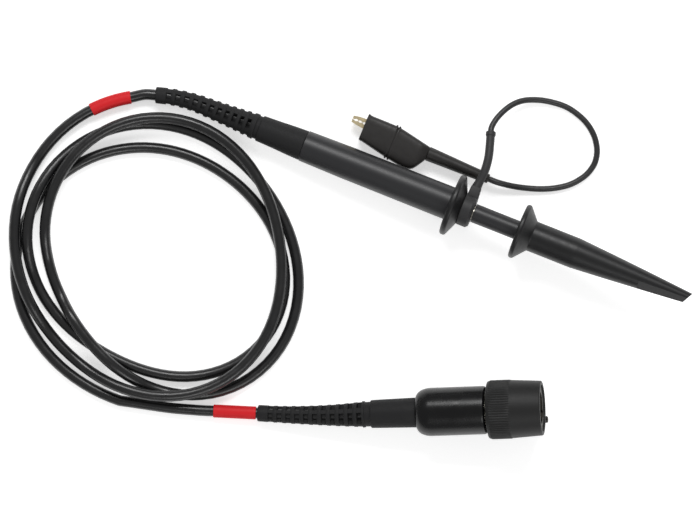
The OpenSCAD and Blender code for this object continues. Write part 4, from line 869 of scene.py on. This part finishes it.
solid("readout_keel", (keel_points + web_points, keel_faces), plug_rolled, piano_black, "probe",
      ["housing_bottom"])

# ---- Inside the housing -----------------------------------------------------------------
# The matching network sits on a small circuit board: four chips and a trimmer, whose slotted
# brass screw is reached through a hole in the lower shell. Two steel screws close the shells.

# Zinc-plated steel: grey with a slight bluish bloom.
zinc = textured("Zinc plate on steel, barrel plated", ["#8f9294"], 0.2, 0.01, (0.28, 0.46),
                {"Metallic": 1})
dress(zinc, "housing_screws")
# Epoxy laminate under green lacquer: the glass cloth shows as a faint square weave.
laminate, tree, shader, places = surface("Green lacquer on glass laminate, screen printed", {"IOR": 1.5})
THREAD = 0.5                      # mm between the cloth's threads, coarser than the real 0.3 mm to show
cloth = add(tree, "ShaderNodeTexWave", {"Scale": 1 / (20 * THREAD * MM) * math.tau, "Distortion": 1.5},
            {"Vector": places})
tone = add(tree, "ShaderNodeMix", {"data_type": "RGBA", 6: linear("#1f5a34"), 7: linear("#2c6e42")},
           {0: cloth.outputs["Fac"]})
tree.links.new(tone.outputs[2], shader.inputs["Base Color"])
grain(tree, shader, places, 0.5, 0.01, (0.25, 0.4))
dress(laminate, "match_board")
# Filled epoxy: nearly black and matt.
epoxy = textured("Black epoxy, moulded", ["#262627"], 0.12, 0.01, (0.5, 0.7), {"IOR": 1.55})
dress(epoxy, "board_parts")

# ---- Readout pin ------------------------------------------------------------------------
# Brass plunger with a wide flat head, coloured dark grey. It slides in the keel's guide against a
# small spring and tells the instrument which probe is on its socket.

# Dark grey metal with a soft gleam.
dark_pin_metal = textured("Dark grey metal, readout pin", ["#3a3836"], 0.2, 0.006, (0.24, 0.4),
                        {"Metallic": 1})
dress(dark_pin_metal, "readout_pin")

# ---- Connector --------------------------------------------------------------------------
# Turned brass body, nickel plated, held in the shells' front wall. It carries the split outer
# contact, a white insulator, the gilded centre pin and a silicone gasket.

# Silicone rubber: brick red, soft and quite dull.
silicone = textured("Red silicone rubber, moulded", ["#9c4136"], 0.3, 0.015, (0.5, 0.68),
                    {"IOR": 1.43, "Specular IOR Level": 0.4})
dress(silicone, "contact_gasket")

# ---- Coupling nut and grip ring ---------------------------------------------------------
# The nickel-plated bayonet nut turns on the connector's hub, held by a split ring and loaded by
# a wave washer. The grip ring of matt black nylon is pressed over it, with fine ribs at the rear.

# Nylon from a blasted mould: matt, evenly grained black.
matt_nylon = textured("Black nylon, moulded matt", ["#191919"], 0.22, 0.014, (0.46, 0.6),
                      {"IOR": 1.53, "Specular IOR Level": 0.3})

RIBS, RIB_H, RIB_LEN = 72, 0.18, 6.6
PER_RIB = 6
GRIP_R, GRIP_FRONT_R, GRIP_END, NUT_R = 9.2, 8.55, 55.9, 7.25
SMOOTH_R, FRONT_ROUND = 9.07, 0.5     # radius where the ribs end, and the front's edge radius
rib_x = GRIP_X + 0.7
smooth_x = rib_x + RIB_LEN
# Outline of the grip: distance, radius and how deep the ribs' valleys are there.
grip_outline = [
    (GRIP_X, NUT_R + SNUG, 0), (GRIP_X, 8.3, 0), (GRIP_X, 8.55, 0), (GRIP_X + 0.06, 8.75, 0),
    (GRIP_X + 0.2, 8.9, 0), (GRIP_X + 0.5, 8.97, 0), (rib_x, 9.02, 0), (rib_x + 0.15, GRIP_R - 0.06, 0.6),
    (rib_x + 0.3, GRIP_R, 1)]
grip_outline += [(rib_x + 0.3 + (RIB_LEN - 0.5) * k / 4, GRIP_R, 1) for k in range(1, 5)]
grip_outline += [(smooth_x, GRIP_R - 0.1, 0.3), (smooth_x + 0.15, GRIP_R - 0.13, 0)]
grip_outline += [(smooth_x + 0.15 + (GRIP_END - 0.7 - smooth_x - 0.15) * k / 8,
                  SMOOTH_R + (GRIP_FRONT_R - SMOOTH_R) * k / 8, 0) for k in range(1, 9)]
grip_outline += [(GRIP_END - FRONT_ROUND * (1 - math.sin(math.radians(t))),
                  GRIP_FRONT_R - FRONT_ROUND * (1 - math.cos(math.radians(t))), 0) for t in (5, 30, 60, 90)]
grip_outline += [(GRIP_END, GRIP_FRONT_R - 0.65, 0), (GRIP_END, 7.5, 0), (GRIP_END - 0.12, NUT_R + 0.1, 0),
                 (GRIP_END - 0.3, NUT_R + SNUG, 0)]


def ribbed(outline):
    """Points and faces of a turned ring whose outline is drawn in between ribs."""
    columns = RIBS * PER_RIB
    points = []
    for x, r, depth in outline:
        for k in range(columns):
            a = 2 * math.pi * k / columns
            valley = max(0, math.cos(2 * math.pi * k / PER_RIB)) ** 0.8
            at = r - RIB_H * depth * valley
            points.append((x, at * math.cos(a), at * math.sin(a)))
    return points, skin_faces(len(outline), columns)


solid("grip_shell", ribbed(grip_outline), plug_rolled, matt_nylon, "coupling", ["grip_ring"],
      crease=35)

# ---- Studio -----------------------------------------------------------------------------
# White table, a long lens straight above and rolled against the probe, one large softbox
# behind the coil, a weaker one opposite, and a pale room.

TABLE_W = 219.7                   # mm of table across the picture
DISTANCE = 1500                   # mm from the lens to the table
PICTURE_X, PICTURE_Y, PICTURE_ROLL = -12.87, -28.61, 21.7     # the picture's middle, and its turn in degrees
bpy.context.scene.view_settings.view_transform = "Standard"
camera = bpy.data.objects.new("camera", bpy.data.cameras.new("camera"))
bpy.context.scene.collection.objects.link(camera)
camera.location = Vector((PICTURE_X, PICTURE_Y, DISTANCE)) * MM
camera.rotation_euler = (0, 0, math.radians(PICTURE_ROLL))
camera.data.sensor_width = 36
camera.data.lens = 36 * DISTANCE / TABLE_W
camera.data.clip_start, camera.data.clip_end = 0.01, 20
bpy.context.scene.camera = camera

floor_mesh = bpy.data.meshes.new("table_top")
floor_mesh.from_pydata([(-3, -3, 0), (3, -3, 0), (3, 3, 0), (-3, 3, 0)], [], [(0, 1, 2, 3)])
floor = bpy.data.objects.new("table_top", floor_mesh)
bpy.context.scene.collection.objects.link(floor)
# The card glows towards the lens and mirrors, so it looks white but lights nothing.
white_card, tree, shader, places = surface("White card table", {
    "Base Color": linear("#f4f4f4"), "Roughness": 0.9})
GLOW = 0.55
seen = add(tree, "ShaderNodeLightPath")
glow = add(tree, "ShaderNodeEmission", {"Color": (1, 1, 1, 1)})
any_ray = add(tree, "ShaderNodeMath", {"operation": "MAXIMUM"},
              {0: seen.outputs["Is Camera Ray"], 1: seen.outputs["Is Glossy Ray"]})
shown_ray = add(tree, "ShaderNodeMath", {"operation": "MAXIMUM"},
                {0: any_ray.outputs[0], 1: seen.outputs["Is Transmission Ray"]})
lift = add(tree, "ShaderNodeMath", {"operation": "MULTIPLY", 1: GLOW}, {0: shown_ray.outputs[0]})
tree.links.new(lift.outputs[0], glow.inputs["Strength"])
both = add(tree, "ShaderNodeAddShader", (), {0: shader.outputs[0], 1: glow.outputs[0]})
tree.links.new(both.outputs[0], tree.nodes["Material Output"].inputs["Surface"])
floor_mesh.materials.append(white_card)

world = bpy.data.worlds.new("pale room")
world.use_nodes = True
world.node_tree.nodes["Background"].inputs["Color"].default_value = (1, 1, 1, 1)
world.node_tree.nodes["Background"].inputs["Strength"].default_value = 0.35
bpy.context.scene.world = world


def softbox(name, place, size, power):
    """Rectangular area lamp that faces the middle of the table. Its place and size are in metres."""
    light = bpy.data.lights.new(name, "AREA")
    light.shape = "RECTANGLE"
    light.size, light.size_y = size
    light.energy = power
    lamp = bpy.data.objects.new(name, light)
    lamp.location = place
    lamp.rotation_euler = (Vector((0, -0.03, 0)) - Vector(place)).to_track_quat("-Z", "Y").to_euler()
    bpy.context.scene.collection.objects.link(lamp)


softbox("key softbox", (-0.33, 0.83, 1.1), (0.9, 0.4), 12)
softbox("fill softbox", (0.6, -0.8, 1.0), (0.8, 0.5), 5)
